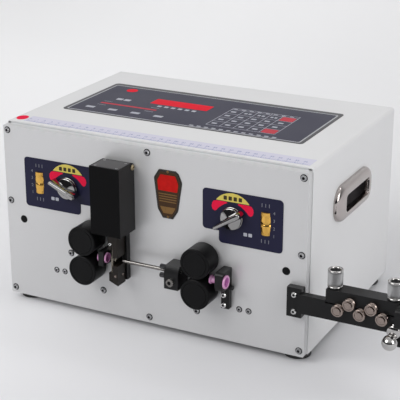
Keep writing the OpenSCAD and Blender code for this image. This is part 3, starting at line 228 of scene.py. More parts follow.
def buildSurfaceTone(cloudScale=14.0):
    # fine grain and slow cloudy change of colour and gloss
    group, place, given, made = newGroup("surfaceTone", [
        ("Colour", "Color", (0.5, 0.5, 0.5, 1)), ("Spread", "Float", 0.05), ("Grain", "Float", 900.0),
        ("Roughness", "Float", 0.4), ("Roughness spread", "Float", 0.08),
    ], [("Colour", "Color"), ("Roughness", "Float"), ("Height", "Float")])
    fine = addNoise(group, place, given["Grain"], 4.0)
    slow = addNoise(group, place, cloudScale, 2.0)
    both = addMath(group, "ADD", addMath(group, "SUBTRACT", fine, 0.5), addMath(group, "SUBTRACT", slow, 0.5))
    scaled = group.nodes.new("ShaderNodeVectorMath")
    scaled.operation = "SCALE"
    group.links.new(given["Colour"], scaled.inputs[0])
    group.links.new(addMath(group, "ADD", addMath(group, "MULTIPLY", both, given["Spread"]), 1.0),
                    scaled.inputs["Scale"])
    group.links.new(scaled.outputs[0], made["Colour"])
    change = addMath(group, "MULTIPLY", both, given["Roughness spread"])
    group.links.new(addMath(group, "ADD", change, given["Roughness"], True), made["Roughness"])
    group.links.new(fine, made["Height"])
    return group


def buildBrushedLines():
    # noise drawn out along one direction, as brushing or turning leaves it
    group, place, given, made = newGroup("brushedLines", [
        ("Stretch", "Vector", (1.0, 1.0, 1.0)), ("Scale", "Float", 400.0),
    ], [("Height", "Float")])
    drawn = group.nodes.new("ShaderNodeVectorMath")
    drawn.operation = "MULTIPLY"
    group.links.new(place, drawn.inputs[0])
    group.links.new(given["Stretch"], drawn.inputs[1])
    group.links.new(addNoise(group, drawn.outputs[0], given["Scale"], 2.0), made["Height"])
    return group


def buildEdgeWear():
    # outer edges rubbed in patches
    group, place, given, made = newGroup("edgeWear", [
        ("Amount", "Float", 0.3), ("Patch scale", "Float", 160.0),
    ], [("Mask", "Float")])
    sharp = group.nodes.new("ShaderNodeNewGeometry").outputs["Pointiness"]
    edge = contrast(group, sharp, start=0.52, gain=9.0)
    patch = contrast(group, addNoise(group, place, given["Patch scale"]), start=0.42, gain=3.0)
    mask = addMath(group, "MULTIPLY", addMath(group, "MULTIPLY", edge, patch), given["Amount"], True)
    group.links.new(mask, made["Mask"])
    return group


def buildFineDust():
    # a thin veil on faces that look upwards
    group, place, given, made = newGroup("fineDust", [
        ("Amount", "Float", 0.1), ("Speck scale", "Float", 700.0),
    ], [("Mask", "Float")])
    normal = group.nodes.new("ShaderNodeSeparateXYZ")
    group.links.new(group.nodes.new("ShaderNodeNewGeometry").outputs["Normal"], normal.inputs[0])
    up = addMath(group, "MULTIPLY", normal.outputs["Z"], 1.0, True)
    speck = contrast(group, addNoise(group, place, given["Speck scale"]), start=0.45, gain=2.5)
    mask = addMath(group, "MULTIPLY", addMath(group, "MULTIPLY", up, speck), given["Amount"], True)
    group.links.new(mask, made["Mask"])
    return group


shared = {"tone": buildSurfaceTone(), "lines": buildBrushedLines(), "wear": buildEdgeWear(),
          "dust": buildFineDust()}

# what a finish has where its own line says nothing else
plainLook = {
    "spread": 0.06, "grain": 900.0, "roughSpread": 0.10, "bump": 0.10, "lines": None, "wear": 0.0,
    "wearColour": (0.55, 0.55, 0.55), "dust": 0.0, "dustColour": (0.55, 0.54, 0.52), "coat": 0.0,
    "coatRoughness": 0.1, "specular": 0.5, "bumpDepth": 0.00008,  # in metres, for a bump of 1
}


def brushed(stretch, scale, bump):
    return {"lines": stretch, "linesScale": scale, "linesBump": bump}


filmGrain = {"grain": 2600.0, "bump": 0.05}
printGrain = {"grain": 1400.0, "bump": 0.04}
chromeGrain = {"spread": 0.02, "grain": 300.0, "bump": 0.01, "roughSpread": 0.05}
finishes = {  # colour, roughness, metallic, and what differs from plainLook
    "plateSatin": ((0.62, 0.62, 0.625), 0.36, 0.35, {**brushed((1, 60, 60), 60.0, 0.10), "spread": 0.03,
                   "grain": 2600.0, "bump": 0.06}),
    "coverPaint": ((0.70, 0.70, 0.705), 0.46, 0.0, {"spread": 0.025, "grain": 2400.0, "bump": 0.14}),
    "sheetMetal": ((0.56, 0.57, 0.58), 0.38, 0.9, brushed((60, 1, 60), 40.0, 0.1)),
    "frameBar": ((0.55, 0.56, 0.57), 0.34, 0.9, brushed((1, 40, 40), 50.0, 0.12)),
    "footRubber": ((0.016, 0.016, 0.017), 0.62, 0.0, {"grain": 1800.0, "bump": 0.3, "dust": 0.2}),
    "handleChrome": ((0.47, 0.43, 0.415), 0.11, 1.0, {**chromeGrain, "roughSpread": 0.06}),
    "pocketBlack": ((0.13, 0.125, 0.13), 0.24, 0.0, {"grain": 1500.0, "bump": 0.2}),
    "brightSteel": ((0.62, 0.62, 0.61), 0.24, 1.0, {**brushed((50, 50, 2), 60.0, 0.08), "spread": 0.05}),
    "blackOxide": ((0.028, 0.028, 0.031), 0.34, 0.55, {"wear": 0.35, "wearColour": (0.22, 0.22, 0.22),
                  "bump": 0.15}),
    "zincSteel": ((0.40, 0.40, 0.41), 0.28, 1.0, {"spread": 0.15, "grain": 700.0}),
    "socketShade": ((0.012, 0.012, 0.013), 0.5, 0.0, {"grain": 1200.0, "specular": 0.1}),
    "enamelRed": ((0.50, 0.008, 0.006), 0.4, 0.0, {"spread": 0.5, "grain": 150.0, "bump": 0.1,
                 "specular": 0.1}),
    "badgeRim": ((0.030, 0.026, 0.022), 0.34, 0.3, {"spread": 0.2, "specular": 0.3}),
    "filmBlack": ((0.012, 0.012, 0.016), 0.34, 0.0, filmGrain),
    "filmGrey": ((0.42, 0.43, 0.45), 0.38, 0.0, filmGrain),
    "filmNavy": ((0.015, 0.015, 0.040), 0.36, 0.0, {"spread": 0.12, "grain": 2600.0, "bump": 0.06,
                "specular": 0.14}),
    "printYellow": ((0.64, 0.53, 0.12), 0.5, 0.0, {**printGrain, "specular": 0.05}),
    "printRed": ((0.75, 0.016, 0.060), 0.5, 0.0, {**printGrain, "specular": 0.02}),
    "printPale": ((0.44, 0.45, 0.50), 0.4, 0.0, {**printGrain, "specular": 0.2}),
    "printDim": ((0.20, 0.205, 0.235), 0.4, 0.0, {**printGrain, "specular": 0.2}),
    "printDark": ((0.045, 0.035, 0.02), 0.5, 0.0, {**printGrain, "specular": 0.1}),
    "keyRed": ((0.52, 0.045, 0.065), 0.5, 0.0, {"spread": 0.2, "grain": 1200.0, "specular": 0.1}),
    "windowRed": ((0.72, 0.012, 0.030), 0.5, 0.0, {"spread": 0.15, "grain": 1200.0, "specular": 0.04}),
    "tapePale": ((0.60, 0.59, 0.70), 0.42, 0.0, {"spread": 0.04, "grain": 1800.0, "bump": 0.05}),
    "tapePrint": ((0.16, 0.20, 0.42), 0.45, 0.0, {"grain": 1400.0, "bump": 0.03}),
    "badgeBronze": ((0.065, 0.035, 0.018), 0.42, 0.5, {"spread": 0.3, "grain": 700.0, "bump": 0.35,
                   "specular": 0.2}),
    "badgeGold": ((0.22, 0.125, 0.05), 0.3, 1.0, {"spread": 0.1, "grain": 500.0, "bump": 0.12}),
    "blackCover": ((0.0035, 0.0035, 0.0038), 0.46, 0.0, {"grain": 1500.0, "specular": 0.07}),
    # a lighter black for the guard's side faces than for its front: painted light
    "coverSide": ((0.013, 0.0125, 0.013), 0.44, 0.0, {"grain": 1500.0, "specular": 0.25}),
    "lidGrey": ((0.022, 0.020, 0.022), 0.40, 0.0, {"grain": 1500.0}),
    "blackAnodised": ((0.007, 0.007, 0.0075), 0.33, 0.0, {**brushed((2, 30, 30), 60.0, 0.05), "grain": 1100.0,
                      "specular": 0.24}),
    "holderBlack": ((0.012, 0.009, 0.007), 0.30, 0.3, {"spread": 0.3, "grain": 800.0, "bump": 0.12,
                   "specular": 0.3}),
    "bladeSteel": ((0.22, 0.20, 0.165), 0.26, 1.0, brushed((40, 40, 3), 70.0, 0.12)),
    "ceramicPink": ((0.62, 0.29, 0.52), 0.22, 0.0, {"spread": 0.08, "grain": 500.0, "bump": 0.03,
                   "coat": 0.3}),
    "ceramicBoreShade": ((0.40, 0.10, 0.34), 0.26, 0.0, {"spread": 0.08, "grain": 500.0, "bump": 0.03}),
    "rollerBlack": ((0.004, 0.004, 0.0044), 0.32, 0.0, {"grain": 1200.0, "bump": 0.15, "dust": 0.01,
                    "specular": 0.12}),
    "polishedBrass": ((0.76, 0.44, 0.10), 0.15, 1.0, {"spread": 0.10, "grain": 400.0, "bump": 0.05,
                      "roughSpread": 0.15}),
    "agedBrass": ((0.46, 0.38, 0.24), 0.28, 1.0, {"spread": 0.2, "grain": 600.0}),
    "brassShade": ((0.10, 0.050, 0.012), 0.42, 0.6, {"spread": 0.2, "grain": 700.0, "specular": 0.2}),
    "wheelSteel": ((0.34, 0.28, 0.25), 0.25, 1.0, {**brushed((30, 2, 30), 60.0, 0.1), "spread": 0.15,
                   "grain": 700.0}),
    "knurledChrome": ((0.46, 0.46, 0.46), 0.30, 1.0, {"bump": 0.05}),
    "polishedChrome": ((0.50, 0.49, 0.48), 0.08, 1.0, chromeGrain),
    "knobChrome": ((0.35, 0.345, 0.34), 0.08, 1.0, chromeGrain),
    "tubeSteel": ((0.21, 0.20, 0.19), 0.26, 1.0, {**brushed((2, 50, 50), 60.0, 0.08), "spread": 0.10}),
    "motorBlack": ((0.02, 0.02, 0.022), 0.42, 0.2, {"bump": 0.2}),
    "supplyMetal": ((0.58, 0.59, 0.60), 0.32, 0.95, {"spread": 0.12, "grain": 120.0, "bump": 0.05}),
    "boardGreen": ((0.012, 0.10, 0.035), 0.32, 0.0, {"spread": 0.2, "grain": 700.0, "coat": 0.3}),
    "driverBlack": ((0.02, 0.02, 0.02), 0.4, 0.0, {"grain": 1200.0, "bump": 0.2}),
    "innerAluminium": ((0.64, 0.65, 0.66), 0.33, 0.95, brushed((30, 30, 1), 60.0, 0.1)),
    "socketPlastic": ((0.014, 0.014, 0.015), 0.36, 0.0, {"grain": 1600.0, "bump": 0.15}),
    "switchRed": ((0.55, 0.02, 0.02), 0.25, 0.0, {"bump": 0.03, "coat": 0.3}),
}


def makeFinish(name, colour, roughness, metallic, changes):
    look = {**plainLook, **changes}
    material = bpy.data.materials.new(name)
    material.use_nodes = True
    material.diffuse_color = (*colour, 1)
    tree = material.node_tree
    shader = tree.nodes["Principled BSDF"]
    shader.inputs["Metallic"].default_value = metallic
    shader.inputs["Coat Weight"].default_value = look["coat"]
    shader.inputs["Coat Roughness"].default_value = look["coatRoughness"]
    shader.inputs["Specular IOR Level"].default_value = look["specular"]

    def placeGroup(key, **values):
        node = tree.nodes.new("ShaderNodeGroup")
        node.node_tree = shared[key]
        for label, value in values.items():
            node.inputs[label.replace("_", " ")].default_value = value
        return node

    tone = placeGroup("tone", Colour=(*colour, 1), Spread=look["spread"], Grain=look["grain"],
                      Roughness=roughness, Roughness_spread=look["roughSpread"])
    base = tone.outputs["Colour"]
    for key, paint in (("wear", look["wearColour"]), ("dust", look["dustColour"])):
        if look[key] > 0:
            base = mixColours(tree, placeGroup(key, Amount=look[key]).outputs["Mask"], base, paint)
    tree.links.new(base, shader.inputs["Base Color"])
    tree.links.new(tone.outputs["Roughness"], shader.inputs["Roughness"])
    height = addMath(tree, "MULTIPLY", tone.outputs["Height"], look["bump"])
    if look["lines"]:
        lines = placeGroup("lines", Stretch=look["lines"], Scale=look["linesScale"])
        ridges = addMath(tree, "MULTIPLY", lines.outputs["Height"], look["linesBump"])
        height = addMath(tree, "ADD", height, ridges)
    bump = tree.nodes.new("ShaderNodeBump")
    bump.inputs["Strength"].default_value = 1.0
    bump.inputs["Distance"].default_value = look["bumpDepth"]
    tree.links.new(height, bump.inputs["Height"])
    tree.links.new(bump.outputs["Normal"], shader.inputs["Normal"])
    return material


madeFinish = {name: makeFinish(name, *values) for name, values in finishes.items()}
print("finishes made:", len(madeFinish))


# drawing helpers, all in drawing millimetres
def rounded(x0, x1, z0, z1, r, steps=6):
    points = []
    corners = ((x1 - r, z1 - r, 0), (x0 + r, z1 - r, 90), (x0 + r, z0 + r, 180), (x1 - r, z0 + r, 270))
    for cx, cz, start in corners:
        for i in range(steps + 1):
            turn = math.radians(start + 90 * i / steps)
            points.append((cx + r * math.cos(turn), cz + r * math.sin(turn)))
    return points


def arc(cx, cz, r, start, end, steps=24):
    turns = [math.radians(start + (end - start) * i / steps) for i in range(steps + 1)]
    return [(cx + r * math.cos(t), cz + r * math.sin(t)) for t in turns]


def onFront(points, out):
    return [(x, -out, z) for x, z in points]


def onTop(points, up):
    return [(x, y, coverTop + up) for x, y in points]


def addLoft(shape, loops, closed=False, caps=True, finish=0):
    rings = [[shape.verts.new(p) for p in loop] for loop in loops]
    pairs = list(zip(rings, rings[1:])) + ([(rings[-1], rings[0])] if closed else [])
    faces = []
    count = len(rings[0])
    for low, high in pairs:
        for i in range(count):
            j = (i + 1) % count
            faces.append(shape.faces.new((low[i], low[j], high[j], high[i])))
    if caps and not closed:
        faces.append(shape.faces.new(list(reversed(rings[0]))))
        faces.append(shape.faces.new(rings[-1]))
    for face in faces:
        face.material_index = finish
    return faces


def addPrint(shape, points, low, high, plane, finish=0):
    return addLoft(shape, [plane(points, low), plane(points, high)], finish=finish)


def addTurned(shape, profile, centre, axis="y", steps=64, finish=0):
    # profile: (radius, distance along the axis); it closes on the axis, or into a ring
    loops = []
    for r, along in profile:
        loop = []
        for i in range(steps):
            turn = 2 * math.pi * i / steps
            a, b = r * math.cos(turn), r * math.sin(turn)
            place = {"x": (along, a, b), "y": (a, along, b), "z": (a, b, along)}[axis]
            loop.append(Vector(centre) + Vector(place))
        loops.append(loop)
    ring = profile[0][0] > 0 and profile[-1][0] > 0
    return addLoft(shape, loops, closed=ring, caps=False, finish=finish)


def settle(piece):
    # modifiers become plain mesh
    bpy.context.view_layer.update()
    seen = piece.evaluated_get(bpy.context.evaluated_depsgraph_get())
    mesh = bpy.data.meshes.new_from_object(seen)
    piece.modifiers.clear()
    old, piece.data = piece.data, mesh
    bpy.data.meshes.remove(old)
    return piece


def smoothPiece(piece, sharpAbove, rounding=0.0, segments=2):
    piece.data.shade_smooth()
    if rounding > 0:
        bevel = piece.modifiers.new("roundedEdges", "BEVEL")
        bevel.width, bevel.segments = rounding / 1000, segments
        bevel.limit_method, bevel.angle_limit = "ANGLE", math.radians(sharpAbove)
        bevel.use_clamp_overlap = True
        normals = piece.modifiers.new("faceNormals", "WEIGHTED_NORMAL")
        normals.keep_sharp = True
        settle(piece)
    piece.data.set_sharp_from_angle(angle=math.radians(sharpAbove + 8))
    return piece


def register(piece, body, replaced=()):
    if replaced:
        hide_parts(*replaced)
    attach(piece, body)
    return piece


def newPiece(name, shape, finishNames, body, replaced=(), sharpAbove=35, rounding=0.0, drawn=True):
    if drawn:
        bmesh.ops.remove_doubles(shape, verts=shape.verts, dist=1e-4)
        bmesh.ops.recalc_face_normals(shape, faces=shape.faces)
        bmesh.ops.transform(shape, matrix=drawingToFrame, verts=shape.verts)
    mesh = bpy.data.meshes.new(name)
    shape.to_mesh(mesh)
    shape.free()
    for finish in finishNames:
        mesh.materials.append(madeFinish[finish])
    piece = bpy.data.objects.new(name, mesh)
    scene.collection.objects.link(piece)
    smoothPiece(piece, sharpAbove, rounding)
    return register(piece, body, replaced)


def pieceName(node):
    first, *rest = node.split("_")
    return first + "".join(word.capitalize() for word in rest)


def dress(node, finish, rounding=0.3, zones=()):
    # a copy of a CAD solid with rounded edges; zones give parts of it another finish
    shape = bmesh.new()
    shape.from_mesh(cadNodes[node].data)
    bmesh.ops.remove_doubles(shape, verts=shape.verts, dist=1e-6)
    bmesh.ops.dissolve_limit(shape, angle_limit=math.radians(1.0), verts=shape.verts, edges=shape.edges)
    for face in shape.faces:
        face.material_index = 0
        centre = face.calc_center_median() * 1000 - drawingShift
        for index, (_, inside) in enumerate(zones, 1):
            if inside(centre):
                face.material_index = index
    finishNames = [finish] + [name for name, _ in zones]
    return newPiece(pieceName(node), shape, finishNames, bodyOf[node], (node,), rounding=rounding,
                    drawn=False)


# geometry node trees; what they take is in metres
def newTree(name, inputs):
    # gives the tree, the sockets that come in and the one that goes out
    tree = bpy.data.node_groups.new(name, "GeometryNodeTree")
    tree.interface.new_socket("Geometry", in_out="INPUT", socket_type="NodeSocketGeometry")
    for label, kind, value in inputs:
        socket = tree.interface.new_socket(label, in_out="INPUT", socket_type="NodeSocket" + kind)
        if value is not None:
            socket.default_value = value
    tree.interface.new_socket("Geometry", in_out="OUTPUT", socket_type="NodeSocketGeometry")
    return tree, tree.nodes.new("NodeGroupInput").outputs, tree.nodes.new("NodeGroupOutput").inputs[0]


def geoNode(tree, kind, settings=None, **inputs):
    node = tree.nodes.new(kind)
    for label, value in (settings or {}).items():
        setattr(node, label, value)
    for label, value in inputs.items():
        socket = node.inputs[label.replace("_", " ")]
        if isinstance(value, bpy.types.NodeSocket):
            tree.links.new(value, socket)
        else:
            socket.default_value = value
    return node


def addCylinder(tree, radius, depth, sides, rings=1):
    return geoNode(tree, "GeometryNodeMeshCylinder", {"fill_type": "NGON"}, Vertices=sides,
                   Side_Segments=rings, Radius=radius, Depth=depth).outputs["Mesh"]


def lifted(tree, geometry, up):
    shift = geoNode(tree, "ShaderNodeCombineXYZ", Z=up)
    return geoNode(tree, "GeometryNodeTransform", Geometry=geometry, Translation=shift.outputs[0]).outputs[0]


def bored(tree, geometry, tool):
    hole = geoNode(tree, "GeometryNodeMeshBoolean", {"operation": "DIFFERENCE", "solver": "EXACT"})
    tree.links.new(geometry, hole.inputs["Mesh 1"])
    tree.links.new(tool, hole.inputs["Mesh 2"])
    return hole.outputs["Mesh"]


def painted(tree, geometry, finish, chosen=True):
    return geoNode(tree, "GeometryNodeSetMaterial", Geometry=geometry, Selection=chosen,
                   Material=finish).outputs[0]


def finishTree(tree, given, made, geometry, chosen=True):
    # every tree ends in real geometry with its finish
    real = geoNode(tree, "GeometryNodeRealizeInstances", Geometry=geometry).outputs[0]
    tree.links.new(painted(tree, real, given["Finish"], chosen), made)


def pointPlace(tree):
    place = geoNode(tree, "GeometryNodeInputPosition").outputs[0]
    return geoNode(tree, "ShaderNodeSeparateXYZ", Vector=place).outputs


def ringMover(tree, geometry, near, far, shift, stretch):
    # the ring of points whose height lies between near and far moves by shift and widens by stretch
    place = pointPlace(tree)
    chosen = geoNode(tree, "FunctionNodeBooleanMath", {"operation": "AND"})
    for index, (test, limit) in enumerate((("GREATER_THAN", near), ("LESS_THAN", far))):
        inside = geoNode(tree, "FunctionNodeCompare", {"data_type": "FLOAT", "operation": test})
        tree.links.new(place["Z"], inside.inputs[0])
        tree.links.new(limit, inside.inputs[1])
        tree.links.new(inside.outputs[0], chosen.inputs[index])
    target = geoNode(tree, "ShaderNodeCombineXYZ", X=addMath(tree, "MULTIPLY", place["X"], stretch),
                     Y=addMath(tree, "MULTIPLY", place["Y"], stretch),
                     Z=addMath(tree, "ADD", place["Z"], shift))
    return geoNode(tree, "GeometryNodeSetPosition", Geometry=geometry, Selection=chosen.outputs[0],
                   Position=target.outputs[0]).outputs[0]


def standOnPoints(tree, given, part):
    # each copy is turned as asked, then by a random angle about its own axis
    turn = geoNode(tree, "FunctionNodeEulerToRotation", Euler=given["Turn"])
    spin = geoNode(tree, "FunctionNodeRandomValue", {"data_type": "FLOAT"}, Seed=given["Seed"])
    spin.inputs[3].default_value = 2 * math.pi
    about = geoNode(tree, "ShaderNodeCombineXYZ", Z=spin.outputs[1])
    twist = geoNode(tree, "FunctionNodeEulerToRotation", Euler=about.outputs[0])
    both = geoNode(tree, "FunctionNodeRotateRotation", {"rotation_space": "LOCAL"}, Rotation=turn.outputs[0],
                   Rotate_By=twist.outputs[0])
    return geoNode(tree, "GeometryNodeInstanceOnPoints", Points=given["Geometry"], Instance=part,
                   Rotation=both.outputs[0]).outputs[0]


def buildScrewTree():
    # a socket screw on each point, its head's seat on the point
    tree, given, made = newTree("socketScrews", [
        ("Head radius", "Float", 0.0034), ("Head height", "Float", 0.002), ("Top share", "Float", 0.78),
        ("Rim share", "Float", 0.5), ("Socket radius", "Float", 0.0017), ("Socket depth", "Float", 0.0013),
        ("Shank radius", "Float", 0.002), ("Shank length", "Float", 0.016), ("Turn", "Vector", (0, 0, 0)),
        ("Seed", "Int", 4), ("Finish", "Material", None), ("Socket finish", "Material", None),
    ])
    times = lambda value, share: addMath(tree, "MULTIPLY", value, share)
    height = given["Head height"]
    half, quarter, above = times(height, 0.5), times(height, 0.25), times(height, 2.0)
    rimShift = times(addMath(tree, "SUBTRACT", given["Rim share"], 0.5), height)
    head = addCylinder(tree, given["Head radius"], height, 32, 2)
    head = ringMover(tree, head, quarter, above, 0.0, given["Top share"])
    head = ringMover(tree, head, times(quarter, -1.0), quarter, rimShift, 1.0)
    head = painted(tree, lifted(tree, head, half), given["Finish"])
    # the hex socket is near-black: painted shade in the recess
    socket = addCylinder(tree, given["Socket radius"], times(given["Socket depth"], 2.0), 6)
    socket = painted(tree, lifted(tree, socket, height), given["Socket finish"])
    shank = addCylinder(tree, given["Shank radius"], given["Shank length"], 16)
    shank = lifted(tree, shank, times(given["Shank length"], -0.5))
    joined = tree.nodes.new("GeometryNodeJoinGeometry")
    for part in (bored(tree, head, socket), shank):
        tree.links.new(part, joined.inputs[0])
    shade = geoNode(tree, "GeometryNodeMaterialSelection", Material=given["Socket finish"])
    rest = geoNode(tree, "FunctionNodeBooleanMath", {"operation": "NOT"})
    tree.links.new(shade.outputs[0], rest.inputs[0])
    finishTree(tree, given, made, standOnPoints(tree, given, joined.outputs[0]), rest.outputs[0])
    return tree


def buildKnurlTree():
    # a knurled drum on each point, standing from it, with a bore or recess from its top
    tree, given, made = newTree("knurledDrums", [
        ("Teeth", "Int", 40), ("Radius", "Float", 0.008), ("Height", "Float", 0.012),
        ("Tooth depth", "Float", 0.0004), ("Chamfer", "Float", 0.0006), ("Bore radius", "Float", 0.0025),
        ("Bore depth", "Float", 0.02), ("Barrel", "Float", 0.0), ("Widest at", "Float", 0.0),
        ("Turn", "Vector", (0, 0, 0)), ("Seed", "Int", 2), ("Finish", "Material", None),
    ])
    reckon = lambda operation, a, b: addMath(tree, operation, a, b)
    times = lambda value, share: addMath(tree, "MULTIPLY", value, share)
    radius, height, chamfer = given["Radius"], given["Height"], given["Chamfer"]
    drum = addCylinder(tree, radius, height, times(given["Teeth"], 2.0), 8)
    # teeth round the drum, and a barrel shape along it
    place = pointPlace(tree)
    turns = times(reckon("DIVIDE", reckon("ARCTAN2", place["Y"], place["X"]), 2 * math.pi), given["Teeth"])
    wave = times(reckon("PINGPONG", turns, 0.5), 2.0)
    level = reckon("SUBTRACT", reckon("DIVIDE", place["Z"], height), given["Widest at"])
    curve = times(times(level, level), given["Barrel"])
    tooth = reckon("DIVIDE", times(wave, given["Tooth depth"]), radius)
    factor = reckon("SUBTRACT", reckon("SUBTRACT", 1.0, tooth), curve)
    target = geoNode(tree, "ShaderNodeCombineXYZ", X=times(place["X"], factor), Y=times(place["Y"], factor),
                     Z=place["Z"])
    drum = geoNode(tree, "GeometryNodeSetPosition", Geometry=drum, Position=target.outputs[0]).outputs[0]
    # end rings drawn in and the rings beside them moved out, for the chamfers
    slim = reckon("SUBTRACT", 1.0, reckon("DIVIDE", chamfer, radius))
    step = reckon("SUBTRACT", times(height, 0.125), chamfer)
    for low, high, shift, stretch in ((0.44, 0.9, 0.0, slim), (-0.9, -0.44, 0.0, slim),
                                      (0.3, 0.44, step, 1.0), (-0.44, -0.3, times(step, -1.0), 1.0)):
        drum = ringMover(tree, drum, times(height, low), times(height, high), shift, stretch)
    bore = addCylinder(tree, given["Bore radius"], times(given["Bore depth"], 2.0), 40)
    drum = bored(tree, lifted(tree, drum, times(height, 0.5)), lifted(tree, bore, height))
    finishTree(tree, given, made, standOnPoints(tree, given, drum))
    return tree


def buildMarkTree():
    # a row of equal bars from each point on
    tree, given, made = newTree("markRow", [
        ("Count", "Int", 10), ("Step", "Vector", (0.01, 0, 0)), ("Bar", "Vector", (0.001, 0.001, 0.001)),
        ("Finish", "Material", None),
    ])
    bar = geoNode(tree, "GeometryNodeMeshCube", Size=given["Bar"]).outputs["Mesh"]
    line = geoNode(tree, "GeometryNodeMeshLine", {"mode": "OFFSET"}, Count=given["Count"],
                   Offset=given["Step"]).outputs["Mesh"]
    row = geoNode(tree, "GeometryNodeInstanceOnPoints", Points=line, Instance=bar).outputs[0]
    rows = geoNode(tree, "GeometryNodeInstanceOnPoints", Points=given["Geometry"], Instance=row).outputs[0]
    finishTree(tree, given, made, rows)
    return tree


trees = {"screws": buildScrewTree(), "knurl": buildKnurlTree(), "marks": buildMarkTree()}
turnFront = (math.radians(90), 0, 0)
turnRear = (math.radians(-90), 0, 0)
turnLeft = (0, math.radians(-90), 0)
turnRight = (0, math.radians(90), 0)


def growPiece(name, tree, points, values, finish, body, replaced=(), sharpAbove=35):
    # runs a tree on points given in drawing millimetres, and keeps its result as a plain mesh
    mesh = bpy.data.meshes.new(name)
    mesh.from_pydata([(Vector(p) + drawingShift) / 1000 for p in points], [], [])
    piece = bpy.data.objects.new(name, mesh)
    modifier = piece.modifiers.new(name, "NODES")
    modifier.node_group = trees[tree]
    sockets = {s.name: s.identifier for s in trees[tree].interface.items_tree if s.in_out == "INPUT"}
    given = {**values, "Finish": madeFinish[finish]}
    if "Socket finish" in sockets:
        given["Socket finish"] = madeFinish["socketShade"]
    for label, value in given.items():
        modifier[sockets[label]] = value
    scene.collection.objects.link(piece)
    settle(piece)
    piece.data.shade_smooth()
    piece.data.set_sharp_from_angle(angle=math.radians(sharpAbove))
    return register(piece, body, replaced)


def growScrews(name, places, turn, finish, body, slot, seed=4, **sizes):
    # sizes are in millimetres, shares as they stand
    values = {"Turn": turn, "Seed": seed}
    for key, value in sizes.items():
        label = "".join(" " + c.lower() if c.isupper() else c for c in key).capitalize()
        values[label] = value if label.endswith("share") else value / 1000
    return growPiece(name, "screws", places, values, finish, body)


def growMarks(name, places, count, pitch, bar, finish):
    # rows of bars along X, all in millimetres
    values = {"Count": count, "Step": (pitch / 1000, 0, 0), "Bar": tuple(side / 1000 for side in bar)}
    return growPiece(name, "marks", places, values, finish, "machine")


print("trees built")

# housing
dress("front_plate", "plateSatin", 0.5)
dress("top_cover", "coverPaint", 0.25)
dress("base_plate", "sheetMetal", 0.25)
dress("rear_panel", "coverPaint", 0.2)
dress("front_frame", "frameBar", 0.3)

foot = {"x": 182.0, "rows": (24.0, 251.0), "radius": 13.0, "drop": 9.0}
feet = bmesh.new()
for x in (-foot["x"], foot["x"]):
    for y in foot["rows"]:
        r, drop = foot["radius"], foot["drop"]
        addTurned(feet, [
            (0, 0), (r - 0.6, 0), (r - 0.2, -0.5), (r - 0.2, -2.4), (r + 1.4, -4.2), (r + 2.8, -6.2),
            (r + 2.8, -7.8), (r + 2.3, -drop + 0.4), (r + 1.3, -drop), (4.2, -drop), (3.8, -drop + 0.4),
            (3.6, -drop + 3), (0, -drop + 3),
        ], (x, y, 0), "z", 48)
newPiece("rubberFeet", feet, ["footRubber"], "machine", ("feet",))

handle = {"y": 129.0, "z": 156.0, "side": 200.0, "long": 112.0, "high": 44.0, "corner": 20.0,
          "openLong": 76.0, "openHigh": 21.0, "openCorner": 5.0, "openShift": (5.5, -1.7)}


def addHandle(shape, side):
    # matched rounded loops from the foot of the outer wall, over the crown and down into the opening
    h = handle
    rows = [  # share from the outer outline to the opening, and how far out
        (0.0, 0.0), (0.0, 1.6), (0.02, 2.9), (0.07, 4.3), (0.15, 5.5), (0.26, 6.5), (0.40, 7.2), (0.58, 7.7),
        (0.78, 7.95), (0.92, 8.0), (0.97, 7.8), (1.0, 7.3), (1.0, 0.0),
    ]
    loops = []
    for share, out in rows:
        long = h["long"] + (h["openLong"] - h["long"]) * share
        high = h["high"] + (h["openHigh"] - h["high"]) * share
        corner = h["corner"] + (h["openCorner"] - h["corner"]) * share ** 0.8
        y, z = h["y"] + h["openShift"][0] * share, h["z"] + h["openShift"][1] * share
        outline = rounded(y - long / 2, y + long / 2, z - high / 2, z + high / 2, corner, 12)
        loops.append([(side * (h["side"] + out), y, z) for y, z in outline])
    addLoft(shape, loops, closed=True)


handles = bmesh.new()
addHandle(handles, 1)
addHandle(handles, -1)
newPiece("handleFrames", handles, ["handleChrome"], "machine", ("handle_frames",), 60)
dress("handle_pockets", "pocketBlack", 0.6)
print("housing dressed")

# screws
plateRim = {"x": 193.0, "rows": (214.0, 124.0, 7.5)}
rearRim = {"x": 190.5, "y": 267.0, "rows": (8.0, 111.5, 213.5)}
pillars = [(-108.0, 0, 69.6), (-63.5, 0, 29.3), (63.5, 0, 29.3)]
guideScrews = [(101.7, -7.0, 60.3), (101.7, -7.0, 47.9), (189.15, -9.0, 79.8), (189.15, -9.0, 59.5)]
plateScrews = [(s * plateRim["x"], 0, z) for s in (-1, 1) for z in plateRim["rows"]]
plateScrews += [(0, 0, z) for z in plateRim["rows"][::2]] + pillars  # top and bottom row in the middle
rearScrews = [(s * rearRim["x"], rearRim["y"], z) for s in (-1, 1) for z in rearRim["rows"]]
growScrews("plateScrews", plateScrews, turnFront, "zincSteel", "machine", "black_steel", shankLength=17,
           topShare=0.8, socketRadius=1.9)
# thin dark rings wider than the screw heads: painted shadow round each head
growScrews("screwSeats", plateScrews, turnFront, "socketShade", "machine", "black_steel", 12, headRadius=4.3,
           headHeight=0.22, topShare=0.97, socketRadius=2, socketDepth=0.1, shankLength=1)
growScrews("bracketScrews", guideScrews, turnFront, "brightSteel", "machine", "steel", 7, shankLength=14)
growScrews("rearScrews", rearScrews, turnRear, "blackOxide", "machine", "black_steel", 9, shankLength=2.4)
stud = {"x": 149.3, "y": 4.0, "low": 132.1, "high": 174.9, "radius": 2.4, "chamfer": 0.5}
studs = bmesh.new()
for s in (-1, 1):
    r, c, low, high = stud["radius"], stud["chamfer"], stud["low"], stud["high"]
    addTurned(studs, [(0, low), (r - c, low), (r, low + c), (r, high - c), (r - c, high), (0, high)],
              (s * stud["x"], stud["y"], 0), "z", 24)
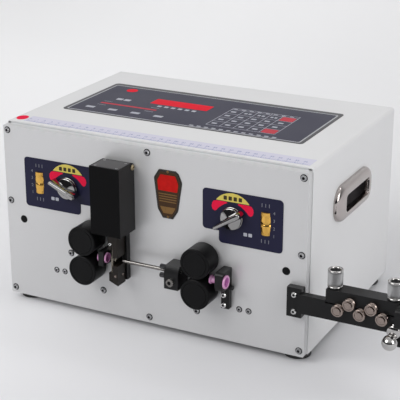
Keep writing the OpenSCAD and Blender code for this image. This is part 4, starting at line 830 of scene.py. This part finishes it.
newPiece("nutStuds", studs, ["brightSteel"], "machine", ("housing_screws",))

guard = {"left": -56.5, "right": -17.0, "front": -35.0, "top": 200.0, "hingeY": -5.5, "hingeZ": 195.0}
pivots = bmesh.new()
for s, end in ((-1, guard["left"]), (1, guard["right"])):
    addTurned(pivots, [
        (0, -s * 8.1), (1.9, -s * 8.1), (1.9, s * 0.3), (3.4, s * 0.3), (3.4, s * 1.2), (3.0, s * 1.7),
        (2.2, s * 1.9), (1.2, s * 1.9), (1.2, s * 1.1), (0, s * 1.1),
    ], (end, guard["hingeY"], guard["hingeZ"]), "x", 36)
newPiece("guardPivots", pivots, ["agedBrass"], "machine")

plug = {"x": 175.2, "z": 102.0, "radius": 4.8}
plugs = bmesh.new()
for s in (-1, 1):
    r = plug["radius"]
    addTurned(plugs, [(0, -1.0), (r - 1.8, -0.98), (r - 0.6, -0.75), (r - 0.05, -0.3), (r, 0), (0, 0)],
              (s * plug["x"], 0, plug["z"]), "y", 40)
newPiece("holePlugs", plugs, ["rollerBlack"], "machine", ("black_screws",))
smallPairs = {"columns": (118.2, 130.0), "z": 43.0}
pairs = [(s * x, 0, smallPairs["z"]) for s in (-1, 1) for x in smallPairs["columns"]]
growScrews("smallScrews", pairs, turnFront, "zincSteel", "machine", "black_steel", headRadius=2.8,
           headHeight=1.2, socketRadius=1.5, socketDepth=1, shankRadius=1.5, shankLength=2)
# thin dark rings wider than the small screw heads: painted shadow round each head
growScrews("smallSeatShadows", pairs, turnFront, "socketShade", "machine", "black_steel", headRadius=3.8,
           headHeight=0.2, topShare=0.97, socketRadius=1, socketDepth=0.1, shankRadius=1, shankLength=1)
print("screws placed")

# dial films, one outline mirrored for the left side
film = {"inner": 71.4, "outer": 170.2, "low": 121.5, "high": 184.0, "stepZ": 135.5, "stepX": 92.0,
        "corner": 4.5, "thick": 0.55}
dial = {
    "x": 108.7, "arcX": 108.9, "arcHalf": 20.6, "arcLow": 172.2, "arcHigh": 182.6,
    "marks": (99.7, 105.9, 112.1, 118.3), "markRow": (173.8, 178.6), "markHalf": 2.1, "markCorner": 0.7,
    "ear": [(7.5, 171.4), (19.0, 171.4), (23.2, 170.6), (25.4, 167.6), (25.9, 164.0), (25.0, 160.6),
            (22.6, 158.8), (20.0, 159.6), (17.6, 162.6), (14.2, 165.6), (10.6, 168.2), (6.4, 170.2)],
    "blocks": (124.9, 130.9), "blockRow": (134.4, 138.4), "blockHalf": 2.2, "blockCorner": 0.6,
    "ticks": 3, "tickX": 144.7, "tickRows": (175.0, 132.5), "tickPitch": 4.4, "tick": (0.7, 0.2, 4.2),
    "numberX": 159.6, "numberRows": (167.3, 158.4, 149.2, 140.2), "numberHigh": 5.2, "numberOut": 0.66,
    "arcLayer": (0.5, 0.64), "markLayer": (0.6, 0.70), "earLayer": (0.5, 0.62), "blockLayer": (0.5, 0.66),
}


def filmOutline(s, inset=0.0):
    f = film
    r = f["corner"] - inset
    x0, x1, z0, z1 = f["inner"] + inset, f["outer"] - inset, f["low"] + inset, f["high"] - inset
    sx, sz = f["stepX"] + inset, f["stepZ"] + inset
    points = arc(x1 - r, z1 - r, r, 0, 90, 6) + arc(x0 + r, z1 - r, r, 90, 180, 6)
    points += arc(x0 + r, sz + r, r, 180, 270, 6) + [(sx - 0.01, sz)]
    points += arc(sx + r, z0 + r, r, 180, 270, 6) + arc(x1 - r, z0 + r, r, 270, 360, 6)
    return [(s * x, z) for x, z in points]


def addDialBlocks(shape, mirror, places, row, half, corner, layer):
    for x in places:
        addPrint(shape, mirror(rounded(x - half, x + half, *row, corner, 3)), *layer, onFront)


films, yellows, reds, pales, darks = (bmesh.new() for _ in range(5))
for s in (-1, 1):
    d = dial
    mirror = lambda points, s=s: [(s * x, z) for x, z in points]
    addPrint(films, filmOutline(s), 0.0, film["thick"], onFront)
    # yellow segment over the knob with four dark marks
    rise = d["arcHigh"] - d["arcLow"]
    r = (d["arcHalf"] ** 2 + rise ** 2) / (2 * rise)
    half = math.degrees(math.asin(d["arcHalf"] / r))
    segment = arc(d["arcX"], d["arcHigh"] - r, r, 90 - half, 90 + half, 24)
    addPrint(yellows, mirror(segment), *d["arcLayer"], onFront)
    addDialBlocks(darks, mirror, d["marks"], d["markRow"], d["markHalf"], d["markCorner"], d["markLayer"])
    # two red ears beside it, and two small blocks below the knob
    for side in (-1, 1):
        addPrint(reds, mirror([(d["x"] + side * x, z) for x, z in d["ear"]]), *d["earLayer"], onFront)
    addDialBlocks(pales, mirror, d["blocks"], d["blockRow"], d["blockHalf"], d["blockCorner"],
                  d["blockLayer"])
newPiece("dialFilms", films, ["filmNavy"], "machine", ("face_panels",))
for word, shape in (("Yellow", yellows), ("Red", reds), ("Pale", pales), ("Dark", darks)):
    newPiece("dial" + word + "Print", shape, ["print" + word], "machine")
for s, side in ((-1, "left"), (1, "right")):
    growMarks(side + "DialTicks", [(s * dial["tickX"], -0.6, z) for z in dial["tickRows"]], dial["ticks"],
              s * dial["tickPitch"], dial["tick"], "printDim")


def addNumber(shape, text, height, place, raised=0.04):
    # digits as raised print; place puts their flat points into the drawing
    curve = bpy.data.curves.new("number", "FONT")
    curve.body, curve.size, curve.extrude = text, height, raised
    curve.align_x, curve.align_y = "CENTER", "CENTER"
    flat = bpy.data.objects.new("number", curve)
    scene.collection.objects.link(flat)
    bpy.context.view_layer.update()
    mesh = bpy.data.meshes.new_from_object(flat.evaluated_get(bpy.context.evaluated_depsgraph_get()))
    added = bmesh.new()
    added.from_mesh(mesh)
    for vert in added.verts:
        vert.co = place(*vert.co)
    added.to_mesh(mesh)
    added.free()
    shape.from_mesh(mesh)
    bpy.data.objects.remove(flat)
    bpy.data.curves.remove(curve)
    bpy.data.meshes.remove(mesh)


digits = bmesh.new()
for s in (-1, 1):
    for text, z in zip("4321", dial["numberRows"]):
        addNumber(digits, text, dial["numberHigh"],
                  lambda x, y, d, s=s, z=z: Vector((s * dial["numberX"] + x, -dial["numberOut"] - d, z + y)))
newPiece("dialNumbers", digits, ["printDim"], "machine")

badge = {
    "x": 27.0, "low": 138.5, "wide": 36.0, "high": 58.5, "rim": 2.6, "pinInset": 2.0, "ribInset": 4.4,
    "fieldInset": 4.6, "enamelLayer": (0.75, 1.0), "ribLayer": (0.75, 0.98),
    # shares of the height, as in the outline below
    "enamel": (0.58, 0.97), "foot": (0.03, 0.19), "ribs": (0.49, 0.43, 0.37, 0.31), "ribHigh": 0.022,
    "shares": [(-0.30, 1), (0.28, 1), (0.38, 0.95), (0.49, 0.80), (0.5, 0.76), (0.36, 0.20), (0.34, 0.16),
               (0.17, 0), (-0.19, 0), (-0.36, 0.16), (-0.38, 0.20), (-0.5, 0.80), (-0.49, 0.83),
               (-0.33, 0.985)],
}


def badgeOutline(inset, low=0.0, high=1.0):
    # the shield drawn in towards its middle, or the part of it between two heights
    wide, tall = badge["wide"] - 2 * inset, badge["high"] - 2 * inset
    points = []
    outline = badge["shares"]
    for (u0, v0), (u1, v1) in zip(outline, outline[1:] + outline[:1]):
        for limit in sorted((low, high), key=lambda value: (value - v0) * (1 if v1 > v0 else -1)):
            if (v0 - limit) * (v1 - limit) < 0:
                points.append((u0 + (u1 - u0) * (limit - v0) / (v1 - v0), limit))
        if low <= v1 <= high:
            points.append((u1, v1))
    return [(badge["x"] + u * wide, badge["low"] + inset + v * tall) for u, v in points]


shield = bmesh.new()
rim = badge["rim"]
addLoft(shield, [onFront(badgeOutline(i), d) for i, d in (
    (0.0, 0.0), (0.0, 0.7), (0.5, 1.15), (rim - 0.4, 1.15), (rim, 0.8))], caps=False)
addLoft(shield, [onFront(badgeOutline(rim), 0.8), onFront(badgeOutline(rim + 0.01), 0.79)], finish=1)
newPiece("plainBadge", shield, ["badgeRim", "badgeBronze"], "machine")
enamel = bmesh.new()
addPrint(enamel, badgeOutline(badge["fieldInset"], *badge["enamel"]), *badge["enamelLayer"], onFront)
newPiece("badgeEnamel", enamel, ["enamelRed"], "machine")
ribs = bmesh.new()
for low in badge["ribs"]:
    addPrint(ribs, badgeOutline(badge["ribInset"], low, low + badge["ribHigh"]), *badge["ribLayer"], onFront)
addPrint(ribs, badgeOutline(badge["fieldInset"], *badge["foot"]), *badge["ribLayer"], onFront)
newPiece("badgeRibs", ribs, ["badgeGold"], "machine")
pins = bmesh.new()
for z in (badge["low"] + badge["pinInset"], badge["low"] + badge["high"] - badge["pinInset"]):
    addTurned(pins, [(0, -2.0), (0.8, -1.95), (1.35, -1.6), (1.6, -1.1), (1.6, -0.6), (0, -0.6)],
              (badge["x"], 0, z), "y", 24)
newPiece("badgePins", pins, ["badgeGold"], "machine")
print("front films and badge made")

# lift knobs
knob = {"x": 108.7, "z": 153.5, "back": 1.1, "base": 8.0, "wide": 9.4, "tip": 6.0, "tail": 17.8,
        "reach": 21.0, "angles": {"left": 156, "right": 213}, "camShift": (-0.98, -1.7)}


def gripLoop(side, angle, out, share, shrink):
    # outline of the pointer grip at one depth
    k = knob
    w, t = k["wide"] / 2 * share, k["tip"] / 2 * share
    tail, reach = k["tail"] - shrink, k["reach"] - shrink
    points = arc(w - tail, 0, w, 90, 270, 10) + [(reach - t * 0.9, -t)] + arc(reach - t, 0, t, -70, 70, 6)
    points += [(reach - t * 0.9, t)]
    turn = math.radians(angle)
    return [(side * k["x"] + x * math.cos(turn) - z * math.sin(turn), -out,
             k["z"] + x * math.sin(turn) + z * math.cos(turn)) for x, z in points]


for side, s in (("left", -1), ("right", 1)):
    k = knob
    shape = bmesh.new()
    rim, face = k["back"], k["back"] + k["base"]
    addTurned(shape, [
        (0, -rim), (13.1, -rim), (13.5, -rim - 0.4), (13.5, -rim - 1.5), (13.2, -rim - 2.0),
        (12.8, -rim - 2.2), (12.8, -face + 3.6), (12.7, -face + 3.1), (12.4, -face + 2.8),
        (11.9, -face + 2.6), (8.0, -face + 1.5), (4.0, -face + 0.3), (0, -face - 0.9),
    ], (s * k["x"], 0, k["z"]), "y", 96)
    loops = [gripLoop(s, k["angles"][side], out, share, shrink) for out, share, shrink in (
        (2.6, 0.9, 0.5), (3.4, 1.0, 0.1), (5.0, 1.0, 0.0), (10.5, 0.90, 0.1), (14.6, 0.66, 0.4),
        (15.6, 0.56, 0.8), (16.0, 0.38, 1.6))]
    addLoft(shape, loops)
    # shaft and cam behind the plate
    addTurned(shape, [(0, -2.1), (4, -2.1), (4, 21.2), (3.5, 21.7), (0, 21.7)], (s * k["x"], 0, k["z"]),
              "y", 32)
    addTurned(shape, [(0, 16), (7.6, 16), (8, 16.4), (8, 19.6), (7.6, 20), (0, 20)],
              (s * k["x"] + k["camShift"][0], 0, k["z"] + k["camShift"][1]), "y", 48)
    newPiece(side + "LiftKnob", shape, ["knobChrome"], side + "_knob", (side + "_lift_knob",), 40)
print("knobs made")

# brass thumb nuts: two knurled drums on a dark disc in the groove between them, with dark discs on their
# ends; the dark discs are painted shade
nut = {"x": 149.3, "y": 4.0, "z": 153.5, "radius": 7.9, "high": 27.0, "groove": 0.34, "grooveRadius": 7.75,
       "bore": 2.55, "endRadius": 6.3, "teeth": 34, "toothDepth": 0.28, "chamfer": 0.2, "barrel": 0.24,
       "widest": 0.35}
for side, s in (("left", -1), ("right", 1)):
    n = nut
    drum = (n["high"] - n["groove"]) / 2
    for label, low, widest in (("Upper", n["groove"] / 2, -n["widest"]),
                               ("Lower", -n["high"] / 2, n["widest"])):
        growPiece(side + "Nut" + label, "knurl", [(s * n["x"], n["y"], n["z"] + low)], {
            "Teeth": n["teeth"], "Radius": n["radius"] / 1000, "Height": drum / 1000,
            "Tooth depth": n["toothDepth"] / 1000, "Chamfer": n["chamfer"] / 1000,
            "Bore radius": n["bore"] / 1000, "Bore depth": 0.02, "Barrel": n["barrel"], "Widest at": widest,
        }, "polishedBrass", side + "_nut", (side + "_thumb_nut",) if label == "Upper" else (), 50)
    shadeDiscs = bmesh.new()
    for radius, middle, half in ((n["grooveRadius"], 0, n["groove"] / 2 + 0.02),
                                 (n["endRadius"], -n["high"] / 2, 0.05),
                                 (n["endRadius"], n["high"] / 2, 0.05)):
        near, far = middle - half, middle + half
        addTurned(shadeDiscs, [(n["bore"], near), (radius, near), (radius, far), (n["bore"], far)],
                  (s * n["x"], n["y"], n["z"]), "z", 48)
    newPiece(side + "NutShadeDiscs", shadeDiscs, ["brassShade"], side + "_nut")

# control panel on the cover: thin printed layers
panel = {  # each rectangle: its reach across and along, and its corner radius
    "sheet": (-168.0, 156.0, 82.0, 217.0, 5.0), "line": (-163.2, 151.8, 84.8, 208.6, 3.2),
    "field": (-161.4, 150.0, 86.6, 206.8, 2.4), "window": (-81.0, -1.0, 151.0, 173.0, 1.2),
    "redKeys": [(94.4, 112.0, 155.6, 171.0, 1.0), (94.4, 112.0, 102.2, 117.4, 1.0),
                (-138.0, -58.0, 124.0, 128.4, 0.8)],
    "lamp": (-131.0, 193.0, 7.6),  # middle and radius
    "columns": (23.6, 41.3, 59.1, 76.9, 93.0, 113.4), "rows": (100.9, 118.7, 136.5, 154.3, 172.2, 178.4),
    "lineHalf": 0.35, "shortColumns": ((-138.0, -126.0), (-70.0, -58.0)), "shortRows": (134.0, 117.6),
    "shortWide": 0.7, "windowLayer": (0.58, 0.70), "printLayer": (0.58, 0.68), "markLevel": 0.66,
    "marks": [  # rows of small plain blocks: first place, how many, pitch and bar
        ((30.6, 163.2), 1, 17.6, (7.0, 4.6)), ((47.4, 163.2), 2, 5.6, (3.8, 4.6)),
        ((65.2, 163.2), 2, 5.6, (3.8, 4.6)), ((82.4, 163.2), 2, 5.2, (3.4, 4.6)),
        ((30.6, 145.4), 5, 17.8, (6.6, 4.4)), ((30.6, 127.6), 5, 17.8, (6.6, 4.4)),
        ((30.6, 109.8), 4, 17.8, (6.6, 4.4)), ((10.0, 89.6), 12, 9.8, (5.2, 3.2)),
        ((-63.0, 143.6), 6, 9.7, (5.4, 5.4)), ((-140.0, 104.0), 4, 32.3, (12.0, 6.4)),
        ((-124.0, 149.6), 2, 11.0, (8.6, 7.0)), ((28.0, 175.4), 8, 10.8, (5.2, 2.2)),
    ],
}


def addLayer(shape, rectangle, low, high, steps=6):
    addPrint(shape, rounded(*rectangle, steps), low, high, onTop)


for name, finish, key, low, high, replaced in (
    ("controlPanel", "filmBlack", "sheet", 0.0, 0.50, ("control_panel",)),
    ("panelBorderLine", "filmGrey", "line", 0.45, 0.56, ()),
    ("panelField", "filmNavy", "field", 0.5, 0.62, ()),
):
    layer = bmesh.new()
    addLayer(layer, panel[key], low, high)
    newPiece(name, layer, [finish], "machine", replaced)
window = bmesh.new()
addLayer(window, panel["window"], *panel["windowLayer"], 3)
addPrint(window, arc(*panel["lamp"], 0, 345, 24), *panel["printLayer"], onTop)
newPiece("panelRedWindow", window, ["windowRed"], "machine")
keysRed = bmesh.new()
for rectangle in panel["redKeys"]:
    addLayer(keysRed, rectangle, *panel["printLayer"], 3)
newPiece("panelRedKeys", keysRed, ["keyRed"], "machine")

# grid lines of the keypad, and rows of small plain marks where it has lettering
grid = bmesh.new()
columns, rows, half = panel["columns"], panel["rows"], panel["lineHalf"]
lines = [(x - half, x + half, rows[0], rows[-1], 0.2) for x in columns]
lines += [(columns[0], columns[-1], y - half, y + half, 0.2) for y in rows]
wide = panel["shortWide"]
lines += [(*ends, y, y + wide, 0.2) for ends in panel["shortColumns"] for y in panel["shortRows"]]
for line in lines:
    addLayer(grid, line, *panel["printLayer"], 2)
newPiece("panelGridLines", grid, ["printPale"], "machine")
for index, ((x, y), count, pitch, bar) in enumerate(panel["marks"], 1):
    growMarks("panelMarks%d" % index, [(x, y, coverTop + panel["markLevel"])], count, pitch, (*bar, 0.1),
              "printPale")

# measuring tape along the cover's front edge
tape = {"strip": (-180.0, 193.0, 16.0, 37.0, 1.0), "thick": 0.25, "first": -176.0, "last": 36, "fineY": 17.6,
        "coarseY": 18.8, "numberY": 25.6, "numberHigh": 5.0, "end": (-188.6, 26.5), "endRadii": (7.0, 8.6)}
strip = bmesh.new()
addLayer(strip, tape["strip"], 0.0, tape["thick"], 3)
newPiece("measuringTape", strip, ["tapePale"], "machine")
for name, y, up, count, pitch, bar in (
    ("tapeMillimetres", tape["fineY"], 0.27, 10 * tape["last"] + 6, 1, (0.22, 2.4, 0.08)),
    ("tapeCentimetres", tape["coarseY"], 0.28, tape["last"] + 1, 10, (0.5, 4.8, 0.1)),
):
    growMarks(name, [(tape["first"], y, coverTop + up)], count, pitch, bar, "tapePrint")
figures = bmesh.new()
for i in range(tape["last"] + 1):
    corner = Vector((tape["first"] + 10 * i, tape["numberY"], coverTop + 0.30))
    addNumber(figures, str(i), tape["numberHigh"], lambda x, y, d, corner=corner: corner + Vector((x, y, d)))
newPiece("tapeNumbers", figures, ["tapePrint"], "machine")
stamp = bmesh.new()
(x, y), (wide, long) = tape["end"], tape["endRadii"]
turns = [2 * math.pi * i / 32 for i in range(32)]
addPrint(stamp, [(x + wide * math.cos(t), y + long * math.sin(t)) for t in turns], 0.0, tape["thick"], onTop)
newPiece("tapeEndMark", stamp, ["printRed"], "machine")
print("panel and tape printed")

# feed units; each pressure spring is a nested pair, one coil seated on the block and one under the bar
spring = {
    "x": 75.0, "y": 26.0, "turns": 8, "steps": 16, "sides": 8,
    "coils": (  # name, body, foot, top, radius of the coil and of its wire
        ("OuterSpring", "_block", 122.05, 141.0, 3.7, 0.65),
        ("InnerSpring", "_press", 129.5, 148.45, 2.2, 0.5)),
}


def addCoil(shape, x, low, high, middle, wire):
    steps, sides = spring["steps"], spring["sides"]
    count = spring["turns"] * steps
    loops = []
    for i in range(count + 1):
        turn = 2 * math.pi * i / steps
        out = Vector((math.cos(turn), math.sin(turn), 0))
        up = low + wire + (high - low - 2 * wire) * i / count
        centre = Vector((x, spring["y"], up)) + out * middle
        angles = [2 * math.pi * j / sides for j in range(sides)]
        loops.append([centre + out * wire * math.cos(a) + Vector((0, 0, wire * math.sin(a))) for a in angles])
    addLoft(shape, loops)


for side, s in (("left", -1), ("right", 1)):
    for level in ("lower", "upper"):
        dress(side + "_" + level + "_roller", "rollerBlack", 0.5)
        dress(side + "_" + level + "_shaft", "brightSteel", 0.15)
    dress(side + "_bearing_block", "innerAluminium", 0.3)
    dress(side + "_pressure_bar", "brightSteel", 0.2)
    for name, body, *sizes in spring["coils"]:
        coil = bmesh.new()
        addCoil(coil, s * spring["x"], *sizes)
        newPiece(side + name, coil, ["brightSteel"], side + body,
                 (side + "_spring",) if name == "OuterSpring" else (), 60)
dress("shaft_bearings", "brightSteel", 0.2)
dress("inner_frames", "innerAluminium", 0.3)
motorCase = (60.0, 102.0)  # along Y; what lies outside it are the motors' end plates
dress("feed_motors", "motorBlack", 0.5,
      [("innerAluminium", lambda c: c.y < motorCase[0] or c.y > motorCase[1])])

# cutter
# the guard's side faces take the lighter black: painted light on them
onGuardSide = lambda c: c.x > guard["right"] - 0.05 or c.x < guard["left"] + 0.05
dress("blade_cover", "blackCover", 0.7, [("coverSide", onGuardSide)])
lid = {"inset": 1.9, "back": 4.2, "corner": 1.2, "thick": 0.15, "columns": (-50.8, -22.7),
       "rows": (-30.4, -9.6)}
lidShape = bmesh.new()
outline = rounded(guard["left"] + lid["inset"], guard["right"] - lid["inset"], guard["front"] + lid["inset"],
                  -lid["back"] - lid["inset"], lid["corner"], 3)
lidTop = guard["top"] + lid["thick"]
addLoft(lidShape, [[(x, y, z) for x, y in outline] for z in (guard["top"] - 0.1, lidTop)])
newPiece("guardLid", lidShape, ["lidGrey"], "guard")
growScrews("guardLidScrews", [(x, y, lidTop) for x in lid["columns"] for y in lid["rows"]], (0, 0, 0),
           "zincSteel", "guard", "steel", 8, headRadius=1.4, headHeight=0.2, socketRadius=0.7,
           socketDepth=0.12, shankRadius=0.8, shankLength=0.8)
dress("cutter_column", "blackAnodised", 0.3)
dress("upper_blade_holder", "holderBlack", 0.35)
dress("lower_blade_holder", "holderBlack", 0.35)
dress("upper_blade", "bladeSteel", 0.08)
dress("lower_blade", "bladeSteel", 0.08)
dress("lead_screw", "brightSteel", 0.2)
dress("cutter_motor", "motorBlack", 0.5)

# wire guides: places of the small screws and knobs, and where the swinging block's pivot pin shows
guide = {"pivotHead": (43.0, -27.9, 71.7), "tubeKnobs": [(34.1, -20.3, 86.9), (34.1, -21.2, 76.6)],
         "inletKnob": (108.3, -4.2, 70.0), "upperHolder": (-36.3, -25.9, 104.0),
         "lowerHolder": (-30.5, -25.9, 64.0), "lowerHolderSide": (-27.1, -14.0, 63.0), "pinFront": -25.01,
         "pinBack": -1.0, "pinTop": 76.0}
onPivotPin = lambda c: c.y < guide["pinFront"] or (c.y > guide["pinBack"] and c.z < guide["pinTop"])
dress("guide_brackets", "blackAnodised", 0.35)
dress("tube_block", "blackAnodised", 0.4, [("brightSteel", onPivotPin)])
dress("guide_tube", "tubeSteel", 0.1)
growScrews("tubePivotHead", [guide["pivotHead"]], turnFront, "tubeSteel", "tube_arm", "steel",
           headRadius=4.8, headHeight=1.6, topShare=0.85, socketRadius=2.6, socketDepth=1.4, shankRadius=2,
           shankLength=1)
# small knurled knobs
smallKnob = {"Teeth": 18, "Radius": 0.0028, "Height": 0.0042, "Tooth depth": 0.0003, "Chamfer": 0.0004,
             "Bore radius": 0.0011, "Bore depth": 0.001}
for name, places, changes, body in (
    ("tubeBlockKnobs", guide["tubeKnobs"], {"Radius": 0.003, "Height": 0.0068, "Turn": turnLeft}, "tube_arm"),
    ("inletKnob", [guide["inletKnob"]], {"Turn": turnRight}, "machine"),
):
    growPiece(name, "knurl", places, {**smallKnob, **changes}, "blackOxide", body, (), 50)
growScrews("upperHolderScrew", [guide["upperHolder"]], turnFront, "brightSteel", "upper_cutter", "steel", 3,
           headRadius=2.1, headHeight=1.4, socketRadius=1, socketDepth=0.9, shankRadius=1.2, shankLength=2)
for name, place, turn, seed in (("lowerHolderScrews", guide["lowerHolder"], turnFront, 5),
                                ("lowerHolderSideScrew", guide["lowerHolderSide"], turnRight, 6)):
    growScrews(name, [place], turn, "wheelSteel", "lower_cutter", "steel", seed, headRadius=1.3,
               headHeight=0.5, socketRadius=0.7, socketDepth=0.4, shankRadius=1, shankLength=2)
dress("tube_actuator", "motorBlack", 0.3)

eyelets = (  # inner and outer end along the wire, radius of the rim and of the bore
    (-50.5, -56.5, 6.5, 3.3), (-50.5, -44.5, 6.5, 3.3), (103.4, 90.0, 5.4, 2.8), (103.4, 110.9, 8.0, 3.5),
    (310.3, 319.8, 8.5, 3.5),
)


def addEyelet(shape, inner, outer, r, bore, body=4.0, thick=2.5):
    # a ceramic ring on the wire line: a round rim at its outer end, its bore flared there
    s = 1 if outer > inner else -1
    flare = bore + (r - bore) * 0.42
    faces = addTurned(shape, [
        (body, inner), (body, outer - s * thick), (r - 0.6, outer - s * thick),
        (r - 0.15, outer - s * (thick - 0.25)), (r, outer - s * thick * 0.6), (r, outer - s * 0.8),
        (r - 0.3, outer - s * 0.3), (r - 0.9, outer),
        (flare + 0.5, outer), (flare, outer - s * 0.35), (flare - 0.5, outer - s * 1.1),
        (bore + 0.4, outer - s * 2.3), (bore, outer - s * 3.0), (bore, inner),
    ], wireLine, "x", 64)
    # faces inside the flare take a darker pink: painted shade in the bore
    for face in faces:
        centre = face.calc_center_median()
        if math.hypot(centre.y - wireLine[1], centre.z - wireLine[2]) < flare - 0.1:
            face.material_index = 1


ceramic = bmesh.new()
for sizes in eyelets:
    addEyelet(ceramic, *sizes)
newPiece("eyelets", ceramic, ["ceramicPink", "ceramicBoreShade"], "machine", ("eyelets",), 50)
print("feed, cutter and guides dressed")

# straightener
barFront, rimEnds = -14.02, (238, 299)  # what stands out in front of the bar here are the axle rims
dress("straightener_bar", "blackAnodised", 0.35,
      [("wheelSteel", lambda c: rimEnds[0] < c.x < rimEnds[1] and c.y < barFront)])
dress("straightener_block", "blackAnodised", 0.35,
      [("wheelSteel", lambda c: c.y < barFront)])
wheel = {"x": 243.9, "pitch": 12.55, "low": 76.4, "high": 85.5, "radius": 6.9, "front": -20.8, "back": -14.3,
         "groove": 1.6, "bore": 2.2}
wheelRows = [wheel["low"], wheel["high"], wheel["low"], wheel["high"], wheel["low"]]
wheelPlaces = [(wheel["x"] + wheel["pitch"] * i, wheel["front"] - 0.15, z) for i, z in enumerate(wheelRows)]
for index, (x, _, z) in enumerate(wheelPlaces, 1):
    ring = bmesh.new()
    r, near, back, bore = wheel["radius"], wheel["front"], wheel["back"], wheel["bore"]
    middle = (near + back) / 2
    addTurned(ring, [  # outer race, shield groove and inner race on both faces
        (bore, near + 0.3), (3.6, near + 0.3), (3.8, near + 0.8), (4.9, near + 0.8), (5.1, near),
        (r - 0.5, near), (r, near + 0.5), (r, middle - 1.7), (r - wheel["groove"], middle), (r, middle + 1.7),
        (r, back - 0.5), (r - 0.5, back), (5.1, back), (4.9, back - 0.8), (3.8, back - 0.8),
        (3.6, back - 0.3), (bore, back - 0.3),
    ], (x, 0, z), "y", 64)
    newPiece("straightenerWheel%d" % index, ring, ["wheelSteel"], "wheel_%d" % index,
             ("straightener_wheel_%d" % index,), 50)
wheelHead = {"headRadius": 3.4, "headHeight": 1.2, "topShare": 0.84, "rimShare": 0.5, "socketRadius": 1.7,
             "socketDepth": 0.8, "shankRadius": 1.9, "shankLength": 1.2}
growScrews("barAxleHeads", wheelPlaces[::2], turnFront, "wheelSteel", "machine", "steel", 11, **wheelHead)
growScrews("blockAxleHeads", wheelPlaces[1::2], turnFront, "wheelSteel", "press_block", "steel", 12,
           **wheelHead)

thumb = {"left": 235.0, "right": 303.0, "y": -4.5, "base": 97.3, "radius": 8.75, "high": 21.0,
         "recess": 5.6, "teeth": 40, "toothDepth": 0.7, "chamfer": 0.4, "knurlLow": 3.0, "knurlHigh": 16.4,
         "knurlInset": 0.3}
for side in ("left", "right"):
    t = thumb
    r, high, inside = t["radius"], t["high"], t["recess"]
    growPiece(side + "ThumbScrew", "knurl", [(t[side], t["y"], t["base"] + t["knurlLow"])], {
        "Teeth": t["teeth"], "Radius": (r - t["knurlInset"]) / 1000, "Height": t["knurlHigh"] / 1000,
        "Tooth depth": t["toothDepth"] / 1000, "Chamfer": t["chamfer"] / 1000, "Bore radius": inside / 1000,
        "Bore depth": 0.002,
    }, "knurledChrome", side + "_adjuster", (side + "_thumb_screw",), 50)
    shank = [  # shank, foot collar and the waist under the knurl
        (0, -32), (2.6, -32), (3, -31.6), (3, 0.0), (r - 1.6, 0.0), (r - 0.7, 0.3), (r - 0.3, 0.9),
        (r - 0.3, 1.8), (r - 0.8, 2.4), (r - 1.6, 2.7), (r - 1.6, 3.3), (0, 3.3),
    ]
    crown = [  # smooth ring at the top, sloping into the recess
        (inside, high - 2.4), (r - 0.8, high - 2.4), (r - 0.2, high - 1.6), (r, high - 0.9),
        (r - 0.4, high - 0.2), (r - 1.1, high), (inside + 1.2, high), (inside + 0.3, high - 0.5),
        (inside, high - 1.2),
    ]
    # the recess floor is near-black: painted shade in the recess
    floor = [(0, high - 3.2), (inside + 0.4, high - 3.2), (inside + 0.4, high - 2.2), (0, high - 2.5)]
    collar = bmesh.new()
    for profile, finish in ((shank, 0), (crown, 0), (floor, 1)):
        addTurned(collar, profile, (t[side], t["y"], t["base"]), "z", 64, finish)
    newPiece(side + "ThumbCollar", collar, ["polishedChrome", "socketShade"], side + "_adjuster",
             (), 50)

clamp = {"x": 308.0, "z": 65.0, "near": -20.5, "back": -14.3, "hub": 7.6, "ball": (306.2, -25.2, 55.0),
         "ballRadius": 8.6}
grip = bmesh.new()
r, near, back = clamp["hub"], clamp["near"], clamp["back"]
addTurned(grip, [  # stud, hub with a waist and a rounded nose
    (0, -8.0), (2.6, -8.0), (3.0, -8.4), (3.0, back), (r, back), (r, back - 1.6), (r - 0.7, back - 2.1),
    (r - 0.7, back - 2.7), (r, back - 3.2), (r, near + 0.8), (r - 0.8, near), (0, near - 0.5),
], (clamp["x"], 0, clamp["z"]), "y", 48)
rows = [math.pi * i / 24 for i in range(25)]
addTurned(grip, [(clamp["ballRadius"] * math.sin(t), -clamp["ballRadius"] * math.cos(t)) for t in rows],
          clamp["ball"], "z", 48)
newPiece("clampKnob", grip, ["polishedChrome"], "clamp", ("clamp_knob",), 40)
print("straightener dressed")

# electrical parts
dress("power_inlet", "socketPlastic", 0.3)
dress("power_switch", "switchRed", 0.4)
dress("power_supply", "supplyMetal", 0.1)
boardTop = 8.2  # the drivers and other components stand above it
dress("control_board", "boardGreen", 0.2, [("driverBlack", lambda c: c.z > boardTop)])
print("electrical parts dressed")
